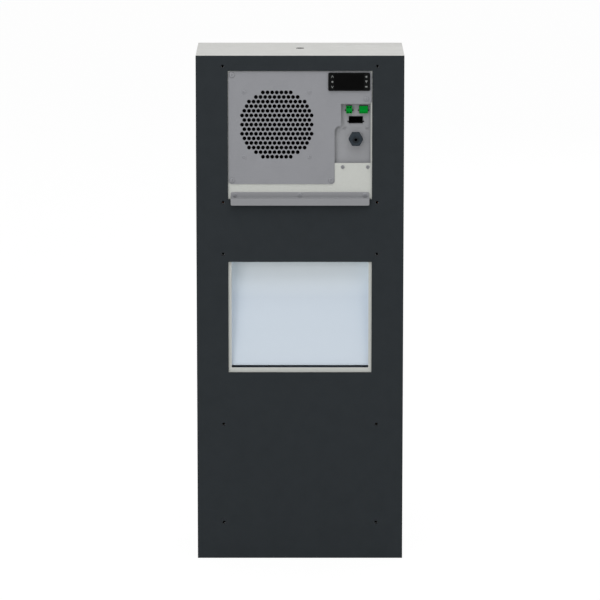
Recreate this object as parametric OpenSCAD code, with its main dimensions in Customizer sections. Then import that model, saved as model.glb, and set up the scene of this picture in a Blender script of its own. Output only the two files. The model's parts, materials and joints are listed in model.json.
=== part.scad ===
// Wall or door mounted cooling unit for a control cabinet, seen from its mounting side.
// X runs across the unit, Z up from its feet and Y from the cabinet towards the hood's front.
// Depths are counted from the mounting seal's face, which lies against the cabinet.

/* [Unit] */
// Width over the hood
unit_w = 400; // [380:1:440]
// Height over the hood
unit_h = 989; // [960:1:1040]
// Depth from the seal's face to the hood's front
unit_d = 215; // [205:1:250]
// Thickness of the painted sheet
sheet_t = 1.5; // [1.2:0.1:1.8]
// Thickness of the galvanised sheet
galv_t = 1.2; // [0.8:0.1:1.5]

/* [Mounting seal] */
// Thickness of the foam seal
seal_t = 4; // [3.5:0.1:5]
// Width of both cut-outs in the seal
cut_w = 277.2; // [276:0.2:279]
// Drop from the unit's top to the upper cut-out
upper_cut_drop = 29; // [28:0.5:30]
// Height of the upper cut-out
upper_cut_h = 249; // [248:0.5:250]
// Height of the lower cut-out's bottom edge
lower_cut_z = 370.6; // [368:0.2:374]
// Height of the strip between both cut-outs
cut_gap = 122.4; // [118:0.2:130]

/* [Fixing points] */
// Distance across the unit between the two columns of threads
fix_span = 297; // [294:0.5:300]
// Drop from the unit's top to the head row
head_row_drop = 20; // [19:0.5:21]
// Drop from the unit's top to the waist row
waist_row_drop = 284; // [279:0.5:291]
// Rise from the lower cut-out's top to the middle row
middle_row_rise = 15.4; // [12:0.2:24]
// Height of the lower row
lower_row_z = 268; // [240:0.5:300]
// Height of the foot row
foot_row_z = 72; // [60:0.5:90]
// Core diameter of the fixing threads
fix_core_d = 5; // [4.2:0.1:5.4]
// Diameter of the fixing threads, which the seal's holes follow
fix_thread_d = 6; // [5.6:0.1:6.4]

/* [Fan plate] */
// Thickness of the plates and the hook
plate_t = 1.5; // [1:0.1:2]
// Rise from the upper cut-out's bottom to the plate
plate_rise = 29.6; // [27:0.2:31]
// Radius of the plate's corners
plate_r = 6; // [3:0.5:8]
// Place across the unit of the fan's axis
fan_x = -44.5; // [-47:0.5:-43]
// Rise from the upper cut-out's bottom to the fan's axis
fan_rise = 145; // [144:0.5:146]
// Diameter of the air holes
air_hole_d = 7.5; // [4:0.1:7.6]
// Distance between neighbouring air holes in a row, and between rows
air_pitch = 8.9; // [8.6:0.1:14]
// Radius within which the air holes' centres lie
air_reach = 70; // [50:1:70]

/* [Connection bay] */
// Place across the unit of the bay's left edge
bay_x = 66.6; // [64.8:0.2:67]
// Place across the unit of the bay's left edge above its rounded step
bay_step_x = 79; // [78.2:0.2:80]
// Place across the unit of the bay's right edge
bay_right_x = 135.8; // [135:0.1:136.4]
// Rise from the upper cut-out's bottom to the bay
bay_rise = 70.2; // [68:0.2:72]
// Height of the bay
bay_h = 114.9; // [114:0.1:117]
// Depth of the connection plate behind the rear panel's face
recess_d = 8; // [7.8:0.1:9]
// Place across the unit of the gland, the port and their screws
gland_x = 107.2; // [106.8:0.1:107.6]
// Rise from the bay's bottom to the gland's axis
gland_rise = 47.3; // [46:0.1:50]
// Width of the gland's hexagon across its flats
gland_af = 24; // [22:0.5:26]
// Diameter of the cable hole in the gland's seal
cable_hole_d = 6; // [4:0.5:9]
// Distance that the gland stands out of the seal's face
gland_reach = 13; // [12:0.5:16]

/* [Controller] */
// Width of the controller's front
ctrl_w = 80.4; // [77:0.2:82]
// Height of the controller's front
ctrl_h = 35; // [33:0.2:36]
// Place across the unit of the controller's middle
ctrl_x = 94.3; // [92:0.1:96]
// Rise from the upper cut-out's bottom to the controller's middle
ctrl_rise = 228.1; // [227:0.1:229]
// Distance between the keys
key_pitch = 10; // [9.8:0.1:10.4]
// Travel of a key
key_travel = 0.4; // [0.3:0.1:0.6]

/* [Hanging hook] */
// Width of the hook
hook_w = 267; // [240:0.2:268]
// Distance that the hook stands out of the seal's face
hook_out = 10; // [8:0.5:12]
// Rise of the hook's ledge over the cut-out's bottom
hook_rise = 3.3; // [2.8:0.1:4]
// Height of the hook's lip
hook_lip_h = 13.8; // [10:0.2:18]

/* [Cold side] */
// Side of the square fan
fan_side = 140; // [138:1:142]
// Depth of the fan
fan_d = 51; // [46:1:54]
// Distance between the fan's screws
fan_screw_pitch = 125; // [124:0.5:126]
// Number of the fan's blades
fan_blades = 7; // [5:1:9]
// Distance from the hood's outer side to the insulated air duct
duct_side = 12; // [11:0.5:14]
// Thickness of the duct's foam lining
lining_t = 8; // [6:0.5:8.5]
// Slope of the evaporator
coil_tilt = 20; // [18:0.5:21]
// Depth of the baffle's lower edge
baffle_near_d = 12; // [11:0.5:20]
// Depth of the baffle's upper edge
baffle_far_d = 50; // [44:0.5:51]

/* [Warm side] */
// Depth of the warm side between the duct and the hood's front
warm_d = 101.5; // [96:0.5:106]
// Height of the base pan
pan_z = 22; // [20:0.5:26]
// Diameter of the compressor
compressor_d = 120; // [110:1:122]
// Height of the compressor's shell
compressor_h = 204; // [180:1:220]
// Width of the intake grille
grille_w = 274; // [270:1:290]
// Height of the intake grille
grille_h = 254; // [250:1:262]
// Distance that the grille stands out of the hood
grille_proud = 4; // [3:0.5:6]
// Radius of the outside fan's blades
outer_fan_r = 90; // [80:1:92]
// Number of the outside fan's blades
outer_blades = 5; // [4:1:7]
// Rows of outlet slots
slot_rows = 14; // [8:1:15]

/* [Hidden] */
$fn = 64;
over = 1; // overrun of every cut
half = 1 / 2;

// Colours
paint = [0.8, 0.81, 0.79];
galvanised = [0.66, 0.67, 0.69];
zinc = [0.62, 0.63, 0.65];
aluminium = [0.75, 0.76, 0.78];
copper = [0.72, 0.45, 0.3];
foam = [0.78, 0.82, 0.86];
black = [0.1, 0.1, 0.11];
green = [0, 0.6, 0.2];
gland_grey = [0.21, 0.24, 0.27];

// Main planes
face_y = (gland_reach - grille_proud - unit_d) / 2;
half_w = unit_w / 2;
inner_w = half_w - sheet_t;
panel_d = seal_t;
panel_back_d = seal_t + sheet_t;
hood_front_d = unit_d - sheet_t;
upper_top_z = unit_h - upper_cut_drop;
upper_z = upper_top_z - upper_cut_h;
lower_top_z = upper_z - cut_gap;
function at(d) = face_y + d;
function mid(span) = (span[0] + span[1]) / 2;
function len_of(span) = span[1] - span[0];
function about(c, w) = [c - w / 2, c + w / 2];
function mirrored(x) = [-x, x];

// Fixing threads
fix_xs = mirrored(fix_span / 2);
fix_zs = [foot_row_z, lower_row_z, lower_top_z + middle_row_rise, unit_h - waist_row_drop,
    unit_h - head_row_drop];
nut_d = 11;
nut_h = 7;
nut_collar_d = 8;

// Flanges of the rear panel and the base pan
flange_d = 18;
pan_edge_h = 15;
flange_inner_w = inner_w - sheet_t;

// Openings of the rear panel
outlet_w = 265;
outlet_lip = 9.2;
outlet_over = 11.4;
outlet_z = lower_cut_z + outlet_lip;
outlet_top_z = lower_top_z + outlet_over;
air_margin = 3;
air_opening_d = 2 * air_reach + air_hole_d + air_margin;

// Screws
screw_d = 4;
screw_head_d = 8;
screw_head_h = 1.6;
screw_hole_d = 4.4;
screw_tip_d = 8.6;
small_screw_d = 3;
small_head_d = 5.6;
small_head_h = 1.8;

// Fan plate
plate_d = panel_d - plate_t;
plate_gap = 1.2;
plate_x = mirrored(cut_w / 2 - plate_gap);
plate_z = [upper_z + plate_rise, upper_top_z - plate_gap];
bay_z = [upper_z + bay_rise, upper_z + bay_rise + bay_h];
step_r = 12;
step_h = 60.8;
step_z = bay_z[0] + step_h;
fan_z = upper_z + fan_rise;
plate_screw_in = 7;
plate_head_d = 10.5;
right_screw_drop = 10;
plate_screws = [
    [plate_x[0] + plate_screw_in, plate_z[1] - plate_screw_in],
    [plate_x[1] - right_screw_drop, bay_z[1] + right_screw_drop],
    [plate_x[0] + plate_screw_in, plate_z[0] + plate_screw_in],
    [bay_x - plate_screw_in, plate_z[0] + plate_screw_in]];

// Evaporator fan
fan_wall = 3;
fan_bore_d = fan_side - 2 * fan_wall;
fan_flange_t = 5;
fan_corner_r = 8;
fan_hub_d = 60;
fan_tip_gap = 1.5;
fan_strut_w = 8;
fan_strut_t = 6;
shaft_d = 5;
shaft_gap = 0.05;
shaft_h = 6;
blade_t = 2;
blade_tilt = 35;
fan_in_d = panel_back_d;
fan_out_d = panel_back_d + fan_d;

// Connection plate, its plugs, port and board
conn_d = panel_d + recess_d;
conn_back_d = conn_d + plate_t;
conn_edge = 5;
conn_flange_h = 19;
conn_screw_drop = 7.8;
conn_screw_left = 24.9;
conn_screw_right = 23.2;
conn_screw_xs = [gland_x - conn_screw_left, gland_x + conn_screw_right];
conn_head_d = 7.2;
board_gap = 10.5;
board_d = conn_back_d + board_gap;
board_t = 1.6;
board_edge = 3;
board_screw_rise = 67.8;
board_screw_pitch = 43;
board_screw_xs = about(gland_x, board_screw_pitch);
plug_rise = 96.5;
plug_h = 13.9;
plug_z = [bay_z[0] + plug_rise, bay_z[0] + plug_rise + plug_h];
plug_out = 10;
plug_inside = 4;
plug_back_d = conn_d + plug_inside;
plug_gap = 0.4;
plug_pitch = 5.08;
plug_ends = 0.8;
contact_poles = 2;
alarm_poles = 3;
contact_x = 94.4;
alarm_x = 122;
contact_plug_x = about(contact_x, contact_poles * plug_pitch + plug_ends);
alarm_plug_x = about(alarm_x, alarm_poles * plug_pitch + plug_ends);
pin_d = 1;
pin_gap = 0.3;
port_w = 26.8;
port_rise = 76.6;
port_h = 13.2;
port_z = [bay_z[0] + port_rise, bay_z[0] + port_rise + port_h];
port_out = 2;
port_wall = 1.6;
clip_w = 2.6;
clip_h = 2.2;
clip_out = 1.4;
clip_rise = 4;

// Cable gland
gland_z = bay_z[0] + gland_rise;
gland_thread_d = 20;
gland_front_d = 18;
gland_bore_d = 13;
gland_base_h = 5.5;
gland_nut_gap = 1;
gland_cap_t = 3;
gland_run_gap = 0.1;
gland_tail = 8;
locknut_h = 5;
locknut_af = 26;

// Controller
ctrl_z = upper_z + ctrl_rise;
ctrl_proud = 3.5;
ctrl_front_d = plate_d - ctrl_proud;
ctrl_r = 3;
ctrl_body_w = 71;
ctrl_body_h = 29;
ctrl_body_d = 57;
ctrl_fit = 0.3;
window_w = 56;
window_edge = 2.4;
window_t = 1.2;
key_off = 32.8;
key_x = ctrl_x - key_off;
key_w = 8;
key_h = 8.8;
key_fit = 0.3;
key_stop = 0.1;
key_proud = 0.2;
key_t = 2;

// Air duct of the cold side
duct_d = hood_front_d - warm_d;
duct_x = mirrored(half_w - duct_side);
duct_drop = 6;
duct_top_gap = 9;
duct_z = [lower_cut_z - duct_drop, unit_h - duct_top_gap];
lining_near_d = 16;
lining_x = grown(duct_x, -galv_t);
lining_z = [duct_z[0] + galv_t, duct_z[1] - galv_t];
lining_back_d = duct_d - galv_t;
air_x = grown(lining_x, -lining_t);
air_back_d = lining_back_d - lining_t;
baffle_lift = 2.9;
baffle_side = 1;
baffle_z = [outlet_z + baffle_lift, outlet_top_z];
baffle_w = outlet_w + 2 * baffle_side;
cheek_t = 8;
tray_near = 2;
tray_far = 10;
tray_d = [baffle_far_d + tray_near, duct_d - tray_far];
tray_h = 16;

// Coils
tube_d = 8;
tube_pitch = 22;
fin_t = 0.5;
fin_pitch = 8;
fin_gap = 0.1;
end_t = 1.2;
coil_edge = 7;
coil_room = 18.8;
evap_rows = 22;
evap_t = 44;
evap_lift = 2.7;
evap_drop = 8;
evap_slack = 7;
evap_d = mid([panel_back_d, air_back_d]);
evap_w = len_of(air_x) - 2 * coil_room;
evap_low_z = baffle_z[1] + tray_h + evap_lift;
evap_high_z = fan_z - fan_side / 2 - evap_drop;
evap_room_d = air_back_d - panel_back_d - evap_slack - evap_t * cos(coil_tilt);
evap_room_z = evap_high_z - evap_low_z - evap_t * sin(coil_tilt);
evap_room = min(evap_room_d / sin(coil_tilt), evap_room_z / cos(coil_tilt));
evap_tubes = floor((evap_room - coil_edge) / tube_pitch);
evap_h = evap_tubes * tube_pitch + coil_edge;
evap_z = evap_low_z + (evap_h * cos(coil_tilt) + evap_t * sin(coil_tilt)) / 2;
tray_side = 3;
tray_w = evap_w + 2 * tray_side;
cond_side = 43.5;
cond_w = 2 * (inner_w - cond_side);
cond_rows = 20;
cond_h = 270;
cond_t = 35;
cond_back = 31;
cond_foot_h = 38;
cond_tubes = floor((cond_h - coil_edge / 2) / tube_pitch);
cond_d = hood_front_d - cond_back;
cond_z = pan_z + cond_foot_h + cond_h / 2;

// Compressor and what stands beside it
riser_in = 8.8;
riser_x = air_x[1] - riser_in;
cap_r = 30;
drier_x = riser_x - 2 * cap_r;
comp_off = 160;
comp_x = drier_x - comp_off;
riser_back = 10.8;
comp_d = air_back_d - riser_back;
grommet_h = 19.5;
comp_foot_z = pan_z + sheet_t + grommet_h;
comp_foot_t = 3;
comp_dome_h = 18;
comp_foot_out = 12;
comp_foot_r = compressor_d / 2 + comp_foot_out;
grommet_d = 20;
bolt_d = 6;
accu_d = 46;
accu_h = 160;
accu_gap = 7;
accu_x = comp_x + compressor_d / 2 + accu_gap + accu_d / 2;
accu_rise = 48;
accu_z = pan_z + accu_rise;
drier_d = 60;
drier_body_d = 22;
drier_rise = 158;
drier_h = 90;
drier_z = [pan_z + drier_rise, pan_z + drier_rise + drier_h];
neck_h = 10;
cap_bundle_d = 10;
cap_z = drier_z[0] - neck_h - cap_bundle_d / 2;
cap_tube_d = 3;
capacitor_x = drier_x + cap_r;
before_cond = 35;
capacitor_at_d = cond_d - cond_t / 2 - before_cond;
capacitor_d = 36;
capacitor_h = 80;

// Pipe routes
suction_drop = 36;
discharge_drop = 21;
liquid_drop = 8;
suction_z = duct_z[0] - suction_drop;
discharge_z = duct_z[0] - discharge_drop;
liquid_z = duct_z[0] - liquid_drop;
bend_r = 7;
fine_bend_r = 5;
header_out = 9;
liquid_out = 14;
hose_d = 12;
hose_in = 7.8;
hose_x = air_x[0] + hose_in;
hose_at_d = mid(tray_d);
hose_bore_d = 8;
spigot_d = 12;
spigot_neck_d = 10;
spigot_neck_h = 2;
spigot_ring_d = 18;
spigot_ring_h = 2;
spigot_shank_d = 14;
spigot_bore_d = 5;
spigot_rise = 14;
spigot_top_z = pan_z + spigot_rise;
spigot_reach = 18;
pipe_hole_gap = 2;

// Hood
hood_bend_r = 2.5;
lift_hole_d = 16;
lift_d = 125;
lift_core_d = 10.2;
lift_bar_w = 50;
lift_bar_t = 3;
lift_bar_end = 25;
lift_nut_d = 22;
lift_nut_h = 10;
grille_lip = 12;
grille_wall = 4;
grille_back = 12;
grille_fit = 0.5;
grille_slats = 12;
slat_t = 2;
slat_tilt = 40;
mat_t = 8;
slot_w = 56;
slot_h = 6;
slot_pitch = 13;
slot_cols = 3;
slot_gap = 10;
outer_plate_gap = 110;
outer_plate_h = 240;
outer_fan_z = cond_z + cond_h / 2 + outer_plate_gap + outer_plate_h / 2;
outer_box_d = 53.5;
outer_plate_d = hood_front_d - outer_box_d;
outer_hub_d = 72;
motor_d = 80;
arm_d = 6;
hood_screw_in = 60;
hood_screw_zs = [pan_z + hood_screw_in, unit_h / 2, unit_h - hood_screw_in];
hood_screw_back = 9;

// Boxes and rods placed by their spans
module block(x, d, z) {
    translate([x[0], at(d[0]), z[0]]) cube([len_of(x), len_of(d), len_of(z)]);
}

module rod_x(x, d, z, dia) {
    translate([x[0], at(d), z]) rotate([0, 90, 0]) cylinder(h = len_of(x), d = dia);
}

module rod_y(x, d, z, dia) {
    translate([x, at(d[0]), z]) rotate([-90, 0, 0]) cylinder(h = len_of(d), d = dia);
}

module rod_z(x, d, z, dia) {
    translate([x, at(d), z[0]]) cylinder(h = len_of(z), d = dia);
}

module hex_y(x, d, z, flats) {
    translate([x, at(d[0]), z]) rotate([-90, 0, 0])
        cylinder(h = len_of(d), d = flats / cos(30), $fn = 6);
}

// Rounded rectangle in two dimensions
module rounded(w, h, r) {
    square([w - 2 * r, h], center = true);
    square([w, h - 2 * r], center = true);
    for (sx = [-1, 1], sz = [-1, 1])
        translate([sx * (w / 2 - r), sz * (h / 2 - r)]) circle(r);
}

// A flat shape drawn in X and Z, given depth along Y
module across(x, d, z) {
    translate([x, at(d[1]), z]) rotate([90, 0, 0]) linear_extrude(len_of(d)) children();
}

module round_plate(x, d, z, r) {
    across(mid(x), d, mid(z)) rounded(len_of(x), len_of(z), r);
}

// A profile drawn in depth and height, run across the unit
module run_x(x, points) {
    translate([x[0], 0, 0]) rotate([90, 0, 90]) linear_extrude(len_of(x))
        polygon([for (p = points) [at(p[0]), p[1]]]);
}

// A pipe through points given as across, depth and height, each leg along one axis
module leg(a, b, dia) {
    if (a[0] != b[0]) rod_x([min(a[0], b[0]), max(a[0], b[0])], a[1], a[2], dia);
    if (a[1] != b[1]) rod_y(a[0], [min(a[1], b[1]), max(a[1], b[1])], a[2], dia);
    if (a[2] != b[2]) rod_z(a[0], a[1], [min(a[2], b[2]), max(a[2], b[2])], dia);
}

// A quarter bend that comes in along a and leaves along b
module elbow(p, a, b, dia, bend) {
    c = [p[0], at(p[1]), p[2]] + (b - a) * bend;
    e = cross(-b, a);
    multmatrix([for (k = [0:2]) [-b[k], a[k], e[k], c[k]]])
        rotate_extrude(angle = 90) translate([bend, 0]) circle(d = dia);
}

module pipe(points, dia, bend) {
    last = len(points) - 2;
    way = [for (i = [0:last]) (points[i + 1] - points[i]) / norm(points[i + 1] - points[i])];
    for (i = [0:last])
        leg(points[i] + (i > 0 ? bend : 0) * way[i], points[i + 1] - (i < last ? bend : 0) * way[i], dia);
    for (i = [1:last]) elbow(points[i], way[i - 1], way[i], dia, bend);
}

// A screw whose head rests on a plate's outer face
module screw_y(x, z, seat, tip, dia, head, head_t) {
    difference() {
        union() {
            rod_y(x, [seat - head_t, seat], z, head);
            rod_y(x, [seat - head_t, tip], z, dia);
        }
        translate([x, at(seat - head_t - over), z]) rotate([-90, 0, 0])
            cylinder(h = over + head_t / 2, d = head / 2, $fn = 6);
    }
}

// Holes and outlines shared by the layers of the mounting side
module fix_holes(dia, d) {
    for (x = fix_xs, z = fix_zs) rod_y(x, d, z, dia);
}

module ctrl_hole(fit, d) {
    block(about(ctrl_x, ctrl_body_w + fit), d, about(ctrl_z, ctrl_body_h + fit));
}

module plate_outline() {
    difference() {
        union() {
            translate([mid([plate_x[0], bay_x]), mid(plate_z)])
                rounded(bay_x - plate_x[0], len_of(plate_z), plate_r);
            translate([mid([fan_x, plate_x[1]]), mid([bay_z[1], plate_z[1]])])
                rounded(plate_x[1] - fan_x, plate_z[1] - bay_z[1], plate_r);
            translate([fan_x, step_z])
                square([bay_step_x - fan_x, mid([bay_z[1], plate_z[1]]) - step_z]);
        }
        translate([bay_x + step_r, step_z]) circle(step_r);
    }
}

air_rows = floor(air_reach / air_pitch);
function row_shift(i) = i % 2 == 0 ? half : 0;
air_holes = [for (i = [-air_rows:air_rows], j = [-air_rows - 1:air_rows + 1])
    let (p = [(j + row_shift(i)) * air_pitch, i * air_pitch]) if (norm(p) <= air_reach) p];

// Mounting side
module mounting_seal() {
    color([0.18, 0.19, 0.2]) difference() {
        block(mirrored(half_w), [0, seal_t], [0, unit_h]);
        block(mirrored(cut_w / 2), [-over, seal_t + over], [upper_z, upper_top_z]);
        block(mirrored(cut_w / 2), [-over, seal_t + over], [lower_cut_z, lower_top_z]);
        fix_holes(fix_thread_d, [-over, seal_t + over]);
    }
}

module rear_panel() {
    through = [panel_d - over, panel_back_d + over];
    color(paint) difference() {
        block(mirrored(inner_w), [panel_d, panel_back_d + flange_d], [0, unit_h - sheet_t]);
        block(mirrored(flange_inner_w), [panel_back_d, panel_back_d + flange_d + over],
            [sheet_t, unit_h - 2 * sheet_t]);
        fix_holes(nut_collar_d, through);
        rod_y(fan_x, through, fan_z, air_opening_d);
        for (x = about(fan_x, fan_screw_pitch), z = about(fan_z, fan_screw_pitch))
            rod_y(x, through, z, screw_hole_d);
        for (p = plate_screws) rod_y(p[0], through, p[1], screw_d);
        block([bay_x - 2 * plate_gap, bay_right_x], through, [bay_z[0], bay_z[1] + plate_gap]);
        ctrl_hole(ctrl_fit, through);
        block(mirrored(outlet_w / 2), through, [outlet_z, outlet_top_z]);
        for (x = conn_screw_xs) rod_y(x, through, bay_z[0] - conn_screw_drop, screw_hole_d);
        for (x = hook_screw_xs) rod_y(x, through, hook_screw_z, screw_d);
        for (sx = [-1, 1], z = hood_screw_zs) translate([sx * half_w, 0, 0])
            rod_x(mirrored(4 * sheet_t), panel_back_d + hood_screw_back, z, screw_d);
    }
}

module weld_nuts() {
    color(zinc) difference() {
        union() {
            fix_holes(nut_d, [panel_back_d, panel_back_d + nut_h]);
            fix_holes(nut_collar_d, [panel_d, panel_back_d]);
        }
        fix_holes(fix_core_d, [panel_d - over, panel_back_d + nut_h + over]);
    }
}

module fan_plate() {
    through = [plate_d - over, panel_d + over];
    color(galvanised) difference() {
        across(0, [plate_d, panel_d], 0) difference() {
            plate_outline();
            translate([fan_x, fan_z]) for (p = air_holes) translate(p) circle(d = air_hole_d);
        }
        ctrl_hole(ctrl_fit, through);
        for (p = plate_screws) rod_y(p[0], through, p[1], screw_d);
        for (x = about(fan_x, fan_screw_pitch), z = about(fan_z, fan_screw_pitch))
            rod_y(x, through, z, screw_d);
    }
}

module fan_plate_screws() {
    color(zinc) for (p = plate_screws)
        screw_y(p[0], p[1], plate_d, screw_tip_d, screw_d, plate_head_d, screw_head_h);
}

module fan_screws() {
    color(zinc)
        for (x = about(fan_x, fan_screw_pitch), z = about(fan_z, fan_screw_pitch))
            screw_y(x, z, plate_d, fan_in_d + fan_flange_t, screw_d, screw_head_d, screw_head_h / 2);
}

// Hook that hangs over the cabinet's cut-out while the unit is bolted on
hook_z = upper_z + hook_rise;
hook_flange_h = 10.5;
hook_r = 3;
hook_screw_drop = 5.5;
hook_screw_pitch = 125;
hook_screw_z = hook_z + hook_flange_h - hook_screw_drop;
hook_screw_xs = [-hook_screw_pitch, 0, hook_screw_pitch];

module hanging_hook() {
    color(galvanised) difference() {
        union() {
            round_plate(mirrored(hook_w / 2), [plate_d, panel_d],
                [hook_z - hook_r, hook_z + hook_flange_h], hook_r);
            block(mirrored(hook_w / 2), [-hook_out, panel_d], [hook_z - plate_t, hook_z]);
            round_plate(mirrored(hook_w / 2), [-hook_out, plate_t - hook_out],
                [hook_z - hook_lip_h, hook_z + hook_r], hook_r);
        }
        block(mirrored(half_w), [plate_d - over, panel_d + over],
            [hook_z - plate_t - hook_r, hook_z - plate_t]);
        block(mirrored(half_w), [-hook_out - over, plate_t - hook_out + over], [hook_z,
            hook_z + 2 * hook_r]);
        for (x = hook_screw_xs) rod_y(x, [plate_d - over, panel_d + over], hook_screw_z, screw_d);
    }
}

module hook_screws() {
    color(zinc) for (x = hook_screw_xs)
        screw_y(x, hook_screw_z, plate_d, screw_tip_d, screw_d, screw_head_d, screw_head_h);
}

// Connection bay
module connection_plate() {
    x = [bay_x - conn_edge, bay_right_x + conn_edge];
    through = [conn_d - over, conn_back_d + over];
    color(galvanised) difference() {
        union() {
            block(x, [conn_d, conn_back_d], [bay_z[0] - plate_t, bay_z[1] + conn_edge]);
            block(x, [panel_back_d, conn_back_d], [bay_z[0] - plate_t, bay_z[0]]);
            block(x, [panel_back_d, panel_back_d + plate_t], [bay_z[0] - conn_flange_h, bay_z[0]]);
        }
        for (sx = conn_screw_xs)
            rod_y(sx, [panel_d, conn_d], bay_z[0] - conn_screw_drop, screw_d);
        for (sx = board_screw_xs) rod_y(sx, through, bay_z[0] + board_screw_rise, small_screw_d);
        block(grown(contact_plug_x, plug_gap), through, grown(plug_z, plug_gap));
        block(grown(alarm_plug_x, plug_gap), through, grown(plug_z, plug_gap));
        block(about(gland_x, port_w), through, port_z);
        rod_y(gland_x, through, gland_z, gland_thread_d);
    }
}

function grown(span, by) = [span[0] - by, span[1] + by];

module connection_screws() {
    color(zinc) {
        for (x = conn_screw_xs)
            screw_y(x, bay_z[0] - conn_screw_drop, panel_d, screw_tip_d, screw_d, conn_head_d,
                small_head_h);
        for (x = board_screw_xs)
            screw_y(x, bay_z[0] + board_screw_rise, conn_d, board_d + board_t, small_screw_d,
                small_head_d, small_head_h);
    }
}

module control_box() {
    x = [bay_x - conn_edge, bay_right_x + conn_edge];
    z = [bay_z[0] + box_rise, bay_z[1] + conn_edge];
    color(galvanised) difference() {
        block(x, [conn_back_d, box_back_d], z);
        block(grown(x, -galv_t), [conn_back_d - over, box_back_d - galv_t], grown(z, -galv_t));
        rod_x([x[0] - over, x[0] + galv_t + over], mid([conn_back_d, box_back_d]), mid(z), wire_hole_d);
    }
}

box_rise = 6;
box_gap = 20;
box_back_d = air_back_d - box_gap;
wire_hole_d = 22;

module control_board() {
    color([0.1, 0.35, 0.2]) difference() {
        block([bay_x - board_edge, bay_right_x + board_edge], [board_d, board_d + board_t],
            [port_z[0] - 3 * board_edge - small_screw_d, bay_z[1] + board_edge]);
        for (x = board_screw_xs)
            rod_y(x, [board_d - over, board_d + board_t + over], bay_z[0] + board_screw_rise,
                small_screw_d);
    }
}

relay_w = 16;
relay_h = 28;
relay_t = 15;
relay_pitch = 19;
relay_xs = [for (i = [0:2]) bay_x + relay_w + i * relay_pitch];

module plug_pins(x, poles) {
    for (i = [0:poles - 1])
        rod_y(mid(x) + (i - (poles - 1) / 2) * plug_pitch, [plug_back_d - plug_out / 2, board_d],
            mid(plug_z), pin_d);
}

module board_parts() {
    color(green) {
        for (x = [contact_plug_x, alarm_plug_x])
            block(x, [plug_back_d + pin_gap, board_d], plug_z);
        plug_pins(contact_plug_x, contact_poles);
        plug_pins(alarm_plug_x, alarm_poles);
        for (x = relay_xs)
            block(about(x, relay_w), [board_d + board_t, board_d + board_t + relay_t],
                about(mid(plug_z), relay_h));
        for (x = board_screw_xs) difference() {
            rod_y(x, [conn_back_d, board_d], bay_z[0] + board_screw_rise, 2 * small_screw_d);
            rod_y(x, [conn_back_d - over, board_d + over], bay_z[0] + board_screw_rise, small_screw_d);
        }
    }
}

entry_w = 2.6;
entry_drop = 2.5;
entry_rise = 2.2;
entry_deep = 6;

module plug_body(x, poles) {
    difference() {
        block(x, [conn_d - plug_out, plug_back_d], plug_z);
        for (i = [0:poles - 1])
            rod_y(mid(x) + (i - (poles - 1) / 2) * plug_pitch,
                [plug_back_d - plug_out / 2 - pin_gap, plug_back_d + over], mid(plug_z),
                pin_d + 2 * pin_gap);
    }
}

module contact_plug() {
    color(green) difference() {
        plug_body(contact_plug_x, contact_poles);
        for (x = about(mid(contact_plug_x), plug_pitch),
            z = [plug_z[1] - entry_drop, plug_z[0] + entry_rise])
            block(about(x, entry_w), [conn_d - plug_out - over, conn_d - plug_out + entry_deep],
                about(z, entry_w));
    }
}

groove_t = 0.8;

module alarm_plug() {
    color(green) difference() {
        plug_body(alarm_plug_x, alarm_poles);
        for (z = [plug_z[1] - entry_drop, plug_z[0] + entry_rise])
            block(grown(alarm_plug_x, over), [conn_d - plug_out - over, conn_d - plug_out + groove_t],
                about(z, entry_w));
    }
}

module clip_pair(x, z, gap) {
    block([x[0] - gap - clip_w, x[0] - gap], [conn_d - clip_out, conn_d], [z, z + clip_h]);
    block([x[1] + gap, x[1] + gap + clip_w], [conn_d - clip_out, conn_d], [z, z + clip_h]);
}

module plug_clips() {
    color(black) {
        clip_pair(contact_plug_x, plug_z[0] + clip_rise, plug_gap);
        clip_pair(alarm_plug_x, plug_z[0] + clip_rise, plug_gap);
        clip_pair(about(gland_x, port_w), port_z[0] + clip_h, 0);
    }
}

port_deep = 12;
port_pin_w = 2.4;
port_pin_gap = 3;

module power_socket() {
    color([0.04, 0.04, 0.04]) {
        difference() {
            block(about(gland_x, port_w), [conn_d - port_out, board_d], port_z);
            block(about(gland_x, port_w - 2 * port_wall), [conn_d - port_out - over,
                port_deep + conn_d - port_out],
                grown(port_z, -port_wall));
        }
        for (i = [-1, 0, 1])
            rod_y(gland_x + i * 3 * port_pin_w, [conn_d - port_out + port_pin_gap,
                conn_d - port_out + port_deep],
                mid(port_z), port_pin_w);
    }
}

// Cable gland, from the connection plate outwards
gland_base_d = conn_d - gland_base_h;
gland_seal_gap = 0.2;
gland_seal_d = gland_bore_d - 2 * gland_seal_gap;
gland_edge_h = 2.5;

module gland_body() {
    color(gland_grey) difference() {
        union() {
            hex_y(gland_x, [gland_base_d, conn_d], gland_z, gland_af);
            rod_y(gland_x, [gland_cap_t + gland_nut_gap - gland_reach, conn_d], gland_z, gland_front_d);
            rod_y(gland_x, [conn_d, conn_back_d + gland_tail], gland_z, gland_thread_d);
        }
        rod_y(gland_x, [-gland_reach, conn_back_d + gland_tail + over], gland_z, gland_bore_d);
    }
}

module gland_nut() {
    nut_end = gland_base_d - gland_nut_gap;
    wide = gland_af / cos(30);
    color(gland_grey) difference() {
        intersection() {
            hex_y(gland_x, [-gland_reach, nut_end], gland_z, gland_af);
            translate([gland_x, at(-gland_reach), gland_z]) rotate([-90, 0, 0]) union() {
                cylinder(h = gland_edge_h, d1 = gland_af - gland_edge_h, d2 = wide);
                translate([0, 0,
                    gland_edge_h]) cylinder(h = nut_end + gland_reach - gland_edge_h, d = wide);
            }
        }
        rod_y(gland_x, [-gland_reach - over, nut_end], gland_z, gland_bore_d);
        rod_y(gland_x, [gland_cap_t - gland_reach, nut_end + over], gland_z,
            gland_front_d + 2 * gland_run_gap);
    }
}

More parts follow.
